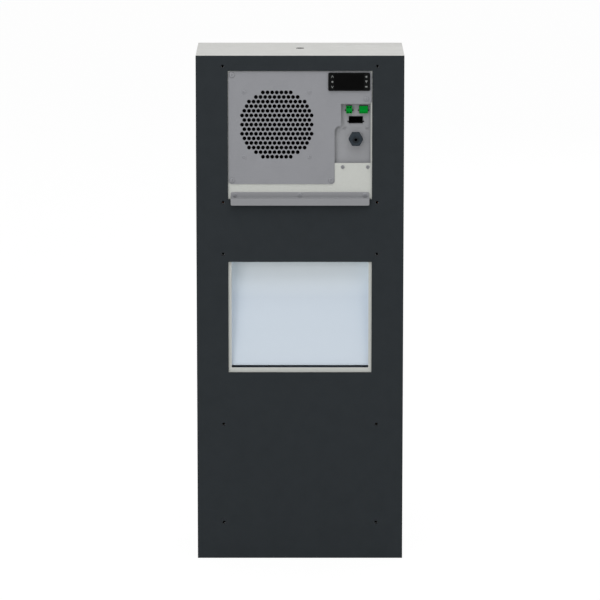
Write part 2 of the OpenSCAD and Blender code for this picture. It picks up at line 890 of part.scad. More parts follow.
module gland_seal() {
    span = [gland_run_gap - gland_reach, conn_d];
    color([0.12, 0.13, 0.14]) difference() {
        rod_y(gland_x, span, gland_z, gland_seal_d);
        rod_y(gland_x, grown(span, over), gland_z, cable_hole_d);
    }
}

module gland_locknut() {
    span = [conn_back_d, conn_back_d + locknut_h];
    color(gland_grey) difference() {
        hex_y(gland_x, span, gland_z, locknut_af);
        rod_y(gland_x, grown(span, over), gland_z, gland_thread_d);
    }
}

// Controller with its window and keys
key_zs = [ctrl_z + key_pitch, ctrl_z, ctrl_z - key_pitch];
key_pocket = key_t - key_proud + key_travel + key_stop;

module controller_body() {
    color([0.06, 0.06, 0.065]) difference() {
        union() {
            round_plate(about(ctrl_x, ctrl_w), [ctrl_front_d, plate_d], about(ctrl_z, ctrl_h), ctrl_r);
            block(about(ctrl_x, ctrl_body_w), [plate_d, plate_d + ctrl_body_d], about(ctrl_z, ctrl_body_h));
        }
        block(about(ctrl_x, window_w), [ctrl_front_d - over, ctrl_front_d + window_t],
            about(ctrl_z, ctrl_h - 2 * window_edge));
        for (z = key_zs)
            block(about(key_x, key_w + 2 * key_fit), [ctrl_front_d - over, ctrl_front_d + key_pocket],
                about(z, key_h + 2 * key_fit));
    }
}

module display_window() {
    color([0.02, 0.02, 0.025]) block(about(ctrl_x, window_w), [ctrl_front_d, ctrl_front_d + window_t],
        about(ctrl_z, ctrl_h - 2 * window_edge));
}

module key_cap(z) {
    color([0.08, 0.08, 0.085]) block(about(key_x, key_w),
        [ctrl_front_d - key_proud, ctrl_front_d - key_proud + key_t], about(z, key_h));
}

module key_up() { key_cap(key_zs[0]); }
module key_set() { key_cap(key_zs[1]); }
module key_down() { key_cap(key_zs[2]); }

// Hood, grille and base
hood_screw_head_d = 8;
hood_screw_len = 8;

module hood_outline() {
    y = [at(panel_d), at(unit_d)];
    translate([-half_w, y[0]]) square([unit_w, len_of(y) - hood_bend_r]);
    translate([hood_bend_r - half_w, y[0]]) square([unit_w - 2 * hood_bend_r, len_of(y)]);
    for (sx = [-1, 1]) translate([sx * (half_w - hood_bend_r), y[1] - hood_bend_r]) circle(hood_bend_r);
}

module outlet_slots(d) {
    for (i = [0:slot_rows - 1], j = [0:slot_cols - 1]) {
        x = (j - (slot_cols - 1) / 2) * (slot_w + slot_gap);
        z = outer_fan_z + (i - (slot_rows - 1) / 2) * slot_pitch;
        block(about(x, slot_w - slot_h), d, about(z, slot_h));
        for (sx = [-1, 1]) rod_y(x + sx * (slot_w - slot_h) / 2, d, z, slot_h);
    }
}

grille_hole_w = grille_w - 2 * grille_lip;
grille_hole_h = grille_h - 2 * grille_lip;

module hood() {
    front = [hood_front_d - over, unit_d + over];
    color(paint) difference() {
        linear_extrude(unit_h) hood_outline();
        block(mirrored(inner_w), [panel_d - over, hood_front_d], [-over, unit_h - sheet_t]);
        rod_z(0, lift_d, [unit_h - sheet_t - over, unit_h + over], lift_hole_d);
        block(about(0, grille_hole_w), front, about(cond_z, grille_hole_h));
        outlet_slots(front);
        for (sx = [-1, 1], z = hood_screw_zs) translate([sx * half_w, 0, 0])
            rod_x(mirrored(2 * sheet_t), panel_back_d + hood_screw_back, z, hood_screw_head_d);
    }
}

module hood_screws() {
    color(zinc) for (sx = [0, 1], z = hood_screw_zs) mirror([sx, 0, 0]) difference() {
        union() {
            rod_x([inner_w, half_w], panel_back_d + hood_screw_back, z, hood_screw_head_d);
            rod_x([inner_w - hood_screw_len, half_w], panel_back_d + hood_screw_back, z, screw_d);
        }
        translate([half_w - sheet_t / 2, at(panel_back_d + hood_screw_back), z]) rotate([0, 90, 0])
            cylinder(h = over, d = hood_screw_head_d / 2, $fn = 6);
    }
}

grille_in_w = grille_hole_w - 2 * grille_fit - 2 * grille_wall;
grille_in_h = grille_hole_h - 2 * grille_fit - 2 * grille_wall;
grille_end_d = unit_d + grille_proud;
grille_back_d = hood_front_d - grille_back;
grille_seat = 0.3;
slat_deep = 10;

module intake_grille() {
    pitch = grille_in_h / grille_slats;
    color(paint) {
        difference() {
            union() {
                block(about(0, grille_w), [unit_d + grille_seat, grille_end_d], about(cond_z, grille_h));
                block(about(0, grille_hole_w - 2 * grille_fit), [grille_back_d, grille_end_d],
                    about(cond_z, grille_hole_h - 2 * grille_fit));
            }
            block(about(0, grille_in_w), [grille_back_d - over, grille_end_d + over],
                about(cond_z, grille_in_h));
        }
        for (i = [0:grille_slats - 1])
            translate([0, at(grille_end_d - slat_deep / 2), cond_z + (i - (grille_slats - 1) / 2) * pitch])
                rotate([-slat_tilt, 0, 0]) cube([grille_in_w + grille_wall, slat_deep, slat_t],
                    center = true);
    }
}

module filter_mat() {
    color([0.75, 0.78, 0.8]) block(about(0, grille_in_w - grille_fit), [grille_back_d,
        grille_back_d + mat_t],
        about(cond_z, grille_in_h - grille_fit));
}

foot_angles = [90, 210, 330];
foot_spots = [for (a = foot_angles) [comp_x + comp_foot_r * cos(a), comp_d + comp_foot_r * sin(a)]];

module base_pan() {
    d = [panel_back_d, hood_front_d];
    color(galvanised) difference() {
        block(mirrored(flange_inner_w), d, [pan_z, pan_z + pan_edge_h]);
        block(mirrored(flange_inner_w - sheet_t), grown(d, -sheet_t), [pan_z + sheet_t,
            pan_z + pan_edge_h + over]);
        rod_z(hose_x, hose_at_d, [pan_z - over, pan_z + sheet_t + over], spigot_shank_d);
    }
}

module lifting_bracket() {
    z = unit_h - 2 * sheet_t;
    color(zinc) difference() {
        union() {
            block(about(0, lift_bar_w), [panel_back_d, lift_d + lift_bar_end], [z - lift_bar_t, z]);
            rod_z(0, lift_d, [z - lift_bar_t - lift_nut_h, z], lift_nut_d);
        }
        rod_z(0, lift_d, [z - lift_bar_t - lift_nut_h - over, z + over], lift_core_d);
    }
}

// Insulated duct of the cold side
capillary_d = mid([panel_back_d, lining_near_d]) + cap_tube_d;

module pipe_holes(z) {
    rod_z(riser_x, comp_d, z, tube_d + pipe_hole_gap);
    rod_z(riser_x, capillary_d, z, cap_tube_d + half * pipe_hole_gap);
    rod_z(hose_x, hose_at_d, z, hose_d + pipe_hole_gap);
}

module air_duct() {
    color(galvanised) difference() {
        block(duct_x, [panel_back_d, duct_d], duct_z);
        block(lining_x, [panel_back_d - over, lining_back_d], lining_z);
        pipe_holes([duct_z[0] - over, lining_z[0] + over]);
    }
}

module duct_lining() {
    color(foam) difference() {
        block(lining_x, [lining_near_d, lining_back_d], lining_z);
        block(air_x, [lining_near_d - over, air_back_d], grown(lining_z, -lining_t));
        pipe_holes([lining_z[0] - over, lining_z[0] + lining_t + over]);
    }
}

module outlet_baffle() {
    x = about(0, baffle_w);
    color(foam) {
        run_x(x, [[baffle_near_d, baffle_z[0]], [air_back_d, baffle_z[0]], [air_back_d, baffle_z[1]],
            [baffle_far_d, baffle_z[1]]]);
        for (sx = [0, 1]) mirror([sx, 0, 0])
            block([x[1], x[1] + cheek_t], [panel_back_d, air_back_d], [lining_z[0] + lining_t,
                baffle_z[1]]);
    }
}

module drip_tray() {
    z = [baffle_z[1], baffle_z[1] + tray_h];
    x = about(0, tray_w);
    color(galvanised) difference() {
        block(x, tray_d, z);
        block(grown(x, -galv_t), grown(tray_d, -galv_t), [z[0] + galv_t, z[1] + over]);
        rod_x([x[0] - over, x[0] + galv_t + over], hose_at_d, mid(z), hose_bore_d);
    }
}

// Hose run from the tray to the spigot; past is how far both ends are drawn on
module hose_run(dia, past) {
    z = baffle_z[1] + tray_h / 2;
    pipe([[past - tray_w / 2, hose_at_d, z], [hose_x, hose_at_d, z],
        [hose_x, hose_at_d, spigot_top_z - past]], dia, bend_r);
}

module drain_hose() {
    color(black) difference() {
        hose_run(hose_d, 0);
        hose_run(hose_bore_d, over);
    }
}

module drain_spigot() {
    low = pan_z - spigot_reach;
    ring_z = pan_z - spigot_ring_h;
    color(black) difference() {
        union() {
            rod_z(hose_x, hose_at_d, [low, ring_z - spigot_neck_h], spigot_d);
            rod_z(hose_x, hose_at_d, [low, ring_z], spigot_neck_d);
            rod_z(hose_x, hose_at_d, [ring_z, pan_z], spigot_ring_d);
            rod_z(hose_x, hose_at_d, [pan_z, spigot_top_z], spigot_shank_d);
            rod_z(hose_x, hose_at_d, [pan_z + sheet_t, pan_z + 3 * sheet_t], spigot_ring_d + 2 * sheet_t);
            rod_z(hose_x, hose_at_d, [pan_z, spigot_top_z + spigot_rise], hose_bore_d);
        }
        rod_z(hose_x, hose_at_d, [low - over, spigot_top_z + spigot_rise + over], spigot_bore_d);
    }
}

// Coils, drawn flat round their own middle
function coil_end(c, z, n, rows, tilt, v) = let (u = (n - 1) / 2 * tube_pitch)
    [c + v * rows / 2 * cos(tilt) - u * sin(tilt), z + u * cos(tilt) + v * rows / 2 * sin(tilt)];
function spots(n, rows) = [for (v = [-1, 1], i = [0:n - 1])
    [v * rows / 2, (i - (n - 1) / 2) * tube_pitch]];

module sheet_x(x, t) {
    translate([x - t / 2, 0, 0]) rotate([90, 0, 90]) linear_extrude(t) children();
}

module coil_sheet(h, t, n, rows, gap) {
    difference() {
        square([t, h], center = true);
        for (p = spots(n, rows)) translate(p) circle(d = tube_d + 2 * gap);
    }
}

module coil_fins(w, h, t, n, rows) {
    count = floor(w / fin_pitch) - 1;
    for (i = [0:count - 1]) sheet_x((i - (count - 1) / 2) * fin_pitch, fin_t)
        coil_sheet(h, t, n, rows, fin_gap);
}

module half_ring(r) {
    rotate([0, 0, -90]) rotate_extrude(angle = 180) translate([r, 0]) circle(d = tube_d);
}

module coil_tubes(w, n, rows) {
    reach = w / 2 + end_t + stub_h;
    for (p = spots(n, rows)) translate([-reach, p[0], p[1]]) rotate([0, 90, 0])
        cylinder(h = 2 * reach, d = tube_d);
    for (v = [-1, 1], i = [0:1:n - 2]) mirror([i % 2, 0, 0])
        translate([reach, v * rows / 2, (i - (n - 2) / 2) * tube_pitch]) rotate([90, 0, 0])
            half_ring(tube_pitch / 2);
    translate([-reach, 0, -(n - 1) / 2 * tube_pitch]) mirror([1, 0, 0]) half_ring(rows / 2);
}

stub_h = 0.8;

module place_evaporator() {
    translate([0, at(evap_d), evap_z]) rotate([coil_tilt, 0, 0]) mirror([1, 0, 0]) children();
}

module place_condenser() {
    translate([0, at(cond_d), cond_z]) children();
}

module evaporator_fins() {
    color(aluminium) place_evaporator() coil_fins(evap_w, evap_h, evap_t, evap_tubes, evap_rows);
}

module evaporator_tubes() {
    color(copper) place_evaporator() coil_tubes(evap_w, evap_tubes, evap_rows);
}

module condenser_fins() {
    color(aluminium) place_condenser() coil_fins(cond_w, cond_h, cond_t, cond_tubes, cond_rows);
}

module condenser_tubes() {
    color(copper) place_condenser() coil_tubes(cond_w, cond_tubes, cond_rows);
}

module end_pair(w) {
    for (sx = [-1, 1]) translate([sx * (w + end_t) / 2, 0, 0]) children();
}

module evaporator_end_plates() {
    color(galvanised) {
        place_evaporator() end_pair(evap_w)
            sheet_x(0, end_t) coil_sheet(evap_h, evap_t, evap_tubes, evap_rows, fin_gap);
        end_pair(evap_w) block(about(0, end_t), about(mid(tray_d), len_of(tray_d) / 2),
            [baffle_z[1] + galv_t, evap_z - evap_h * cos(coil_tilt) / 2 + evap_foot_lap]);
    }
}

evap_foot_lap = 5;
cond_foot_w = 26;

module condenser_end_plates() {
    color(galvanised) {
        place_condenser() end_pair(cond_w)
            sheet_x(0, end_t) coil_sheet(cond_h, cond_t, cond_tubes, cond_rows, fin_gap);
        end_pair(cond_w) block(about(0, end_t), about(cond_d, cond_foot_w),
            [pan_z + sheet_t, cond_z - cond_h / 2]);
    }
}

// Refrigerant circuit
evap_end_x = evap_w / 2 + end_t + stub_h;
cond_end_x = -cond_w / 2 - end_t - stub_h;
header_x = cond_end_x - header_out;
comp_z = comp_foot_z + comp_foot_t;
shell_z = comp_foot_z + comp_foot_t / 2;
comp_top_z = comp_z + compressor_h;
stub_off = 25;
stub_x = comp_x + stub_off;
stub_up = 10;
compressor_r = compressor_d / 2;
dome_r = (compressor_r * compressor_r + comp_dome_h * comp_dome_h) / (2 * comp_dome_h);
dome_cut = 1;
terminal_w = 34;
terminal_h = 12;
comp_arm_w = 28;

module compressor() {
    color(black) difference() {
        union() {
            rod_z(comp_x, comp_d, [shell_z, comp_top_z - comp_dome_h], compressor_d);
            intersection() {
                rod_z(comp_x, comp_d, [comp_top_z - comp_dome_h, comp_top_z], compressor_d);
                translate([comp_x, at(comp_d), comp_top_z - dome_r + dome_cut]) sphere(dome_r);
            }
            rod_z(stub_x, comp_d, [comp_top_z - comp_dome_h, comp_top_z + stub_up], tube_d);
            block([comp_x - terminal_w, comp_x], about(comp_d, terminal_w),
                [comp_top_z - comp_dome_h, comp_top_z + terminal_h]);
            for (a = foot_angles) translate([comp_x, at(comp_d), comp_foot_z]) rotate([0, 0, a]) {
                translate([0, -comp_arm_w / 2, 0]) cube([comp_foot_r, comp_arm_w, comp_foot_t]);
                translate([comp_foot_r, 0, 0]) cylinder(h = comp_foot_t, d = comp_arm_w);
            }
        }
        for (p = foot_spots) rod_z(p[0], p[1], [comp_foot_z - over, comp_z + over], bolt_d);
    }
}

module compressor_grommets() {
    color(black) for (p = foot_spots) difference() {
        rod_z(p[0], p[1], [pan_z + sheet_t, comp_foot_z], grommet_d);
        rod_z(p[0], p[1], [pan_z, comp_foot_z + over], bolt_d);
    }
}

module compressor_bolts() {
    color(zinc) for (p = foot_spots) {
        rod_z(p[0], p[1], [pan_z + sheet_t, comp_z + 2 * bolt_d], bolt_d);
        translate([p[0], at(p[1]), comp_z]) cylinder(h = bolt_d, d = 2 * bolt_d, $fn = 6);
    }
}

module suction_accumulator() {
    top = accu_z + accu_h;
    color(black) difference() {
        union() {
            rod_z(accu_x, comp_d, [accu_z, top], accu_d);
            rod_z(accu_x, comp_d, [top - stub_up, top + stub_up], tube_d);
            pipe([[accu_x, comp_d, accu_z + over], [accu_x, comp_d, accu_z - stub_up],
                [comp_x, comp_d, accu_z - stub_up]], tube_d, bend_r);
            block([comp_x, accu_x], about(comp_d, tube_d), about(mid([accu_z, top]), 2 * tube_d));
        }
        rod_z(comp_x, comp_d, [comp_z - over, comp_top_z], compressor_d);
    }
}

module filter_drier() {
    color(copper) {
        rod_z(drier_x, drier_d, drier_z, drier_body_d);
        rod_z(drier_x, drier_d, grown(drier_z, neck_h), tube_d);
    }
}

module capillary_coil() {
    color(copper) translate([drier_x + cap_r, at(drier_d), cap_z]) rotate_extrude()
        translate([cap_r, 0]) circle(d = cap_bundle_d);
}

module capillary_pipe() {
    end = coil_end(evap_d, evap_z, evap_tubes, evap_rows, coil_tilt, -1);
    color(copper) pipe([[riser_x, drier_d, cap_z + cap_bundle_d / 2], [riser_x, drier_d,
        suction_z - 2 * stub_up],
        [riser_x, capillary_d, suction_z - 2 * stub_up], [riser_x, capillary_d, end[1]],
            [riser_x, end[0], end[1]],
        [evap_end_x, end[0], end[1]]], cap_tube_d, fine_bend_r);
}

module suction_pipe() {
    end = coil_end(evap_d, evap_z, evap_tubes, evap_rows, coil_tilt, 1);
    color(copper) pipe([[evap_end_x, end[0], end[1]], [riser_x, end[0], end[1]],
        [riser_x, comp_d, end[1]], [riser_x, comp_d, suction_z], [accu_x, comp_d, suction_z],
        [accu_x, comp_d, accu_z + accu_h + stub_up]], tube_d, bend_r);
}

module discharge_pipe() {
    end = coil_end(cond_d, cond_z, cond_tubes, cond_rows, 0, 1);
    color(copper) pipe([[stub_x, comp_d, comp_top_z + stub_up], [stub_x, comp_d, discharge_z],
        [stub_x, end[0], discharge_z], [header_x, end[0], discharge_z], [header_x, end[0], end[1]],
        [cond_end_x, end[0], end[1]]], tube_d, bend_r);
}

liquid_turn_x = header_x - liquid_out;

module liquid_pipe() {
    end = coil_end(cond_d, cond_z, cond_tubes, cond_rows, 0, -1);
    color(copper) pipe([[cond_end_x, end[0], end[1]], [liquid_turn_x, end[0], end[1]],
        [liquid_turn_x, end[0], liquid_z], [liquid_turn_x, capacitor_at_d, liquid_z],
        [drier_x, capacitor_at_d, liquid_z], [drier_x, drier_d, liquid_z],
        [drier_x, drier_d, drier_z[1] + neck_h]], tube_d, bend_r);
}

module run_capacitor() {
    color(aluminium) {
        rod_z(capacitor_x, capacitor_at_d, [pan_z + sheet_t, pan_z + sheet_t + capacitor_h], capacitor_d);
        for (x = about(capacitor_x, capacitor_d / 2))
            rod_z(x, capacitor_at_d, [pan_z + capacitor_h, pan_z + capacitor_h + stub_up], tube_d / 2);
    }
}

// Fans
outer_ring_gap = 3;
outer_hole_d = 2 * (outer_fan_r + outer_ring_gap);

module condenser_fan_plate() {
    z = about(outer_fan_z, outer_plate_h);
    x = mirrored(flange_inner_w);
    color(galvanised) {
        difference() {
            block(x, [outer_plate_d, outer_plate_d + galv_t], z);
            rod_y(0, [outer_plate_d - over, outer_plate_d + galv_t + over], outer_fan_z, outer_hole_d);
        }
        block(x, [outer_plate_d, hood_front_d], [z[0], z[0] + galv_t]);
        block(x, [outer_plate_d, hood_front_d], [z[1] - galv_t, z[1]]);
    }
}

outer_rotor_back = 8;
outer_rotor_front = 26;
outer_rotor_d = [outer_plate_d - outer_rotor_back, outer_plate_d + outer_rotor_front];
motor_gap = 4;
motor_span = [duct_d + motor_gap, outer_rotor_d[0] - motor_gap];
motor_shaft_d = 8;

module condenser_fan_motor() {
    reach = outer_hole_d / 2 + arm_d;
    arm_at = mid(motor_span);
    color(black) {
        difference() {
            rod_y(0, motor_span, outer_fan_z, motor_d);
            rod_y(0, [arm_at, motor_span[1] + over], outer_fan_z, motor_shaft_d + 2 * shaft_gap);
        }
        for (s = [-1, 1]) {
            pipe([[s * (motor_d / 2 - over), arm_at, outer_fan_z], [s * reach, arm_at, outer_fan_z],
                [s * reach, outer_plate_d, outer_fan_z]], arm_d, bend_r);
            pipe([[0, arm_at, outer_fan_z + s * (motor_d / 2 - over)], [0, arm_at, outer_fan_z + s * reach],
                [0, outer_plate_d, outer_fan_z + s * reach]], arm_d, bend_r);
        }
    }
}

module rotor(x, z, d, hub, tip_r, blades, inset) {
    h = len_of(d);
    translate([x, at(d[0]), z]) rotate([-90, 0, 0]) {
        cylinder(h = h, d = hub);
        for (k = [0:blades - 1]) rotate([0, 0, k * 360 / blades]) intersection() {
            translate([0, 0, inset]) cylinder(h = h - 2 * inset, r = tip_r);
            translate([hub / 2 - blade_t, 0, h / 2]) rotate([blade_tilt, 0, 0])
                translate([0, -blade_t / 2, -h]) cube([tip_r, blade_t, 2 * h]);
        }
    }
}

module condenser_fan_rotor() {
    color(black) {
        rotor(0, outer_fan_z, outer_rotor_d, outer_hub_d, outer_fan_r, outer_blades, blade_t);
        rod_y(0, [motor_span[1] - shaft_h, outer_rotor_d[0]], outer_fan_z, motor_shaft_d);
    }
}

fan_rotor_d = [fan_in_d + fan_flange_t, fan_out_d - fan_strut_t - fan_tip_gap];

strut_angles = [30, 150, 270];

module evaporator_fan_frame() {
    span = [fan_in_d, fan_out_d];
    back = [fan_out_d - fan_strut_t, fan_out_d];
    color(black) {
        difference() {
            union() {
                round_plate(about(fan_x, fan_side), [fan_in_d, fan_in_d + fan_flange_t],
                    about(fan_z, fan_side), fan_corner_r);
                round_plate(about(fan_x, fan_side), [fan_out_d - fan_flange_t, fan_out_d],
                    about(fan_z, fan_side), fan_corner_r);
                rod_y(fan_x, span, fan_z, fan_side - fan_flange_t / 2);
            }
            rod_y(fan_x, grown(span, over), fan_z, fan_bore_d);
            for (x = about(fan_x, fan_screw_pitch), z = about(fan_z, fan_screw_pitch))
                rod_y(x, grown(span, over), z, screw_d);
        }
        across(fan_x, back, fan_z) difference() {
            union() {
                circle(d = fan_hub_d);
                for (a = strut_angles) rotate(a) translate([0, -fan_strut_w / 2])
                    square([fan_bore_d / 2 + over, fan_strut_w]);
            }
            circle(d = shaft_d + 2 * shaft_gap);
        }
    }
}

module evaporator_fan_rotor() {
    color(black) {
        rotor(fan_x, fan_z, fan_rotor_d, fan_hub_d, fan_bore_d / 2 - fan_tip_gap, fan_blades, blade_t);
        rod_y(fan_x, [fan_rotor_d[1], fan_rotor_d[1] + shaft_h], fan_z, shaft_d);
    }
}

mounting_seal();
rear_panel();
weld_nuts();
hood();
hood_screws();
intake_grille();
filter_mat();
base_pan();
lifting_bracket();
air_duct();
duct_lining();
outlet_baffle();
drip_tray();
drain_hose();
drain_spigot();
evaporator_fins();
evaporator_tubes();
evaporator_end_plates();
condenser_fins();
condenser_tubes();
condenser_end_plates();
compressor();
compressor_grommets();
compressor_bolts();
suction_accumulator();
filter_drier();
capillary_coil();
capillary_pipe();
discharge_pipe();
liquid_pipe();
suction_pipe();
run_capacitor();
condenser_fan_plate();
condenser_fan_motor();
condenser_fan_rotor();
evaporator_fan_frame();
evaporator_fan_rotor();
fan_screws();
fan_plate();
fan_plate_screws();
hanging_hook();
hook_screws();
connection_plate();
connection_screws();
control_box();
control_board();
board_parts();
contact_plug();
alarm_plug();
plug_clips();
power_socket();
gland_body();
gland_nut();
gland_seal();
gland_locknut();
controller_body();
display_window();
key_up();
key_set();
key_down();
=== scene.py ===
import json
import math

import bmesh
import bpy
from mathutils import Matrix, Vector


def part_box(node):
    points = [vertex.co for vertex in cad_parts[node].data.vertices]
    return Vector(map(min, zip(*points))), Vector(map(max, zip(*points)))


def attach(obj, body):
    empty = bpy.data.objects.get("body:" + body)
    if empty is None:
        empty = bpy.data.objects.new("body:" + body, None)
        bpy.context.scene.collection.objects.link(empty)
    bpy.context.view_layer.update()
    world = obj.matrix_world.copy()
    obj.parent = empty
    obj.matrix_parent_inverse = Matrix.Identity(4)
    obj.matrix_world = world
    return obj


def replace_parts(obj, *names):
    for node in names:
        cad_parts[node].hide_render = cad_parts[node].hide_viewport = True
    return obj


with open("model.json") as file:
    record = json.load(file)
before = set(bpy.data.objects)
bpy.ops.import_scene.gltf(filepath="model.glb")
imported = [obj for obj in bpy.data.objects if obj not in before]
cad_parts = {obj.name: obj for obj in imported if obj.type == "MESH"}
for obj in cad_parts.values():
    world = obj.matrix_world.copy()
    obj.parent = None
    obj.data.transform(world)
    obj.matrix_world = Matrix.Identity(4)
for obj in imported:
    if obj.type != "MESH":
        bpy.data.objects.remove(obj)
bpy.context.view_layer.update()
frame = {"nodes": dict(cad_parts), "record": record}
nodes = frame["nodes"]
body_of_node = {node: body for body, members in frame["record"]["behaviour"]["bodies"].items()
                for node in members}
slot_of_node = {s["node"]: s["material_slot"] for s in frame["record"]["subparts"]}

# Main places, in metres. FACE_Y is the seal's face, and depths are counted from it.
MM = 0.001
FACE_Y = -0.103
HOOD_FRONT_Y = FACE_Y + 0.215
HOOD_TOP = 0.989
FAN_X, FAN_Z, FAN_REACH = -0.0445, 0.856, 0.076
FIX_X, FIX_REACH = 0.1485, 0.0036
LIFT_Y, LIFT_REACH = FACE_Y + 0.125, 0.009
HOOK_FOLD_Z, HOOK_TOP_Z = 0.7142, 0.7262
# Heights between which the baffle board's colour rises to painted light at its top
PAINTED_LIGHT_Z = (0.45, 0.575)
DUCT_FLOOR_Z = 0.42
RECESSED_Y = FACE_Y + 0.008
SYMBOL_X, SYMBOL_Z = 0.1272, 0.9391
KEY_SYMBOL_SHIFT = 0.5 * MM
PRINT_THICK = 0.05 * MM
VENT_Z, VENT_ROWS, VENT_COLUMNS = 0.56, 14, 3
VENT_WIDTH, VENT_HEIGHT, VENT_RISE, VENT_STEP = 0.056, 0.006, 0.013, 0.066
VENT_RIM_GAP, VENT_RIM_ROLL, VENT_CORNER_SHARE = 0.0008, 0.0007, 0.49
MAT_MARGIN = 0.004

# Finishes
NOISE_ROUGHNESS = 0.55
GRAIN_HEIGHT, GRAIN_STRENGTH = 0.00006, 0.4
# The baffle board's colour at its top, painted light
PAINTED_LIGHT_TOP = (0.87, 0.95, 1, 1)


def tone(red, green, blue):
    """A colour as the eye counts it, 0 to 255, turned into light."""
    parts = [c / 255 for c in (red, green, blue)]
    return tuple(c / 12.92 if c <= 0.04045 else ((c + 0.055) / 1.055) ** 2.4
                 for c in parts) + (1.0,)


def shade(colour, factor):
    return tuple(min(1.0, c * factor) for c in colour[:3]) + (1.0,)


class Finish:
    """A material under construction, with one shader and the nodes that vary it."""

    def __init__(self, name, colour, rough, metal=0.0, **sockets):
        self.material = bpy.data.materials.new(name)
        self.material.use_nodes = True
        self.tree = self.material.node_tree
        self.shader = self.tree.nodes["Principled BSDF"]
        self.colour = colour
        self.shader.inputs["Base Color"].default_value = colour
        self.shader.inputs["Roughness"].default_value = rough
        self.shader.inputs["Metallic"].default_value = metal
        for socket, value in sockets.items():
            self.shader.inputs[socket.replace("_", " ")].default_value = value
        self.coords = self.tree.nodes.new("ShaderNodeTexCoord").outputs["Object"]
        self.ramp = None
        self.bumped = None

    def node(self, kind, **values):
        made = self.tree.nodes.new(kind)
        for key, value in values.items():
            setattr(made, key, value)
        return made

    def link(self, source, target):
        self.tree.links.new(source, target)

    def level(self):
        """The height of each point in the object's own coordinates."""
        split = self.node("ShaderNodeSeparateXYZ")
        self.link(self.coords, split.inputs["Vector"])
        return split.outputs["Z"]

    def stretched(self, scale):
        mapping = self.node("ShaderNodeMapping")
        mapping.inputs["Scale"].default_value = scale
        self.link(self.coords, mapping.inputs["Vector"])
        return mapping.outputs["Vector"]

    def noise(self, scale, detail, stretch=None):
        made = self.node("ShaderNodeTexNoise")
        made.inputs["Scale"].default_value = scale
        made.inputs["Detail"].default_value = detail
        made.inputs["Roughness"].default_value = NOISE_ROUGHNESS
        self.link(self.stretched(stretch) if stretch else self.coords, made.inputs["Vector"])
        return made.outputs["Fac"]

    def cells(self, scale, stretch=None, colour=False):
        made = self.node("ShaderNodeTexVoronoi")
        made.inputs["Scale"].default_value = scale
        self.link(self.stretched(stretch) if stretch else self.coords, made.inputs["Vector"])
        return made.outputs["Color" if colour else "Distance"]

    def spread(self, source, low, high, start, end):
        """Maps start to end in the source to low to high, and holds it beyond them."""
        made = self.node("ShaderNodeMapRange")
        for key, value in (("From Min", start), ("From Max", end), ("To Min", low),
                           ("To Max", high)):
            made.inputs[key].default_value = value
        self.link(source, made.inputs["Value"])
        return made.outputs["Result"]

    def maths(self, operation, first, second):
        """Adds or multiplies an output with a second output or a number."""
        made = self.node("ShaderNodeMath", operation=operation)
        self.link(first, made.inputs[0])
        if isinstance(second, float):
            made.inputs[1].default_value = second
        else:
            self.link(second, made.inputs[1])
        return made.outputs[0]

    def plus(self, first, second):
        return self.maths("ADD", first, second)

    def times(self, first, second):
        return self.maths("MULTIPLY", first, second)

    def colours(self, source, low=0.93, high=1.06, start=0.3, end=0.7):
        """Shades the finish's colour from low to high between start and end in the source."""
        node = self.node("ShaderNodeValToRGB")
        self.ramp = node.color_ramp
        for element, position, factor in zip(self.ramp.elements, (start, end), (low, high)):
            element.position = position
            element.color = shade(self.colour, factor)
        self.link(source, node.inputs["Fac"])
        self.link(node.outputs["Color"], self.shader.inputs["Base Color"])
        return self

    def roughness(self, source, low, high, start=0.3, end=0.7):
        self.link(self.spread(source, low, high, start, end), self.shader.inputs["Roughness"])
        return self

    def bump(self, source, height, strength):
        made = self.node("ShaderNodeBump")
        made.inputs["Strength"].default_value = strength
        made.inputs["Distance"].default_value = height
        self.link(source, made.inputs["Height"])
        if self.bumped:
            self.link(self.bumped, made.inputs["Normal"])
        self.bumped = made.outputs["Normal"]
        self.link(self.bumped, self.shader.inputs["Normal"])
        return self


def powder_coat(name="powder_coat", colour=tone(193, 195, 190)):
    f = Finish(name, colour, 0.55, Specular_IOR_Level=0.3)
    f.colours(f.times(f.noise(6, 4), f.noise(240, 2)), 0.975, 1.02, 0.15, 0.4)
    f.roughness(f.noise(35, 3), 0.5, 0.64)
    return f.bump(f.noise(900, 2), 0.00012, 0.5).bump(f.noise(240, 2), 0.00025, 0.25).material


def rolled(f, rough):
    """Adds the rolling marks of sheet, along X."""
    f.roughness(f.noise(60, 4, (1, 1, 6)), rough - 0.05, rough + 0.1)
    return f.bump(f.noise(500, 3, (1, 1, 3)), GRAIN_HEIGHT, GRAIN_STRENGTH).material


def zinc_sheet(name="zinc_sheet", colour=tone(139, 140, 144), rough=0.5, spread=1.0):
    """Galvanised sheet with faint spangle."""
    f = Finish(name, colour, rough, 0.2, Specular_IOR_Level=0.25)
    spangle = f.spread(f.cells(55, colour=True), 0, 1, 0, 1)
    flow = f.plus(f.times(spangle, 0.3), f.noise(14, 5))
    f.colours(flow, 1 - 0.03 * spread, 1 + 0.03 * spread, 0.35, 1)
    return rolled(f, rough)


def zinc_with_painted_fold_shade(fold_z, top_z, fold_radius=0.0006):
    """The hook's sheet, with painted shade above its fold that fades towards its top,
    and painted light on the lip below.
    """
    f = Finish("zinc_sheet_painted_fold_shade", tone(143, 144, 147), 0.5, 0.2, Specular_IOR_Level=0.25)
    level = f.level()
    # Painted shade just above the fold, where the lip shades the flange; painted light on the lip.
    rise = f.spread(level, 0.2, 0.9, fold_z, top_z)
    lip_painted_light = f.spread(level, 0.35, 0.0, fold_z - fold_radius, fold_z)
    f.colours(f.plus(f.plus(rise, lip_painted_light), f.times(f.noise(20, 4), 0.3)), 0.81, 0.97, 0.1, 0.9)
    return rolled(f, 0.5)


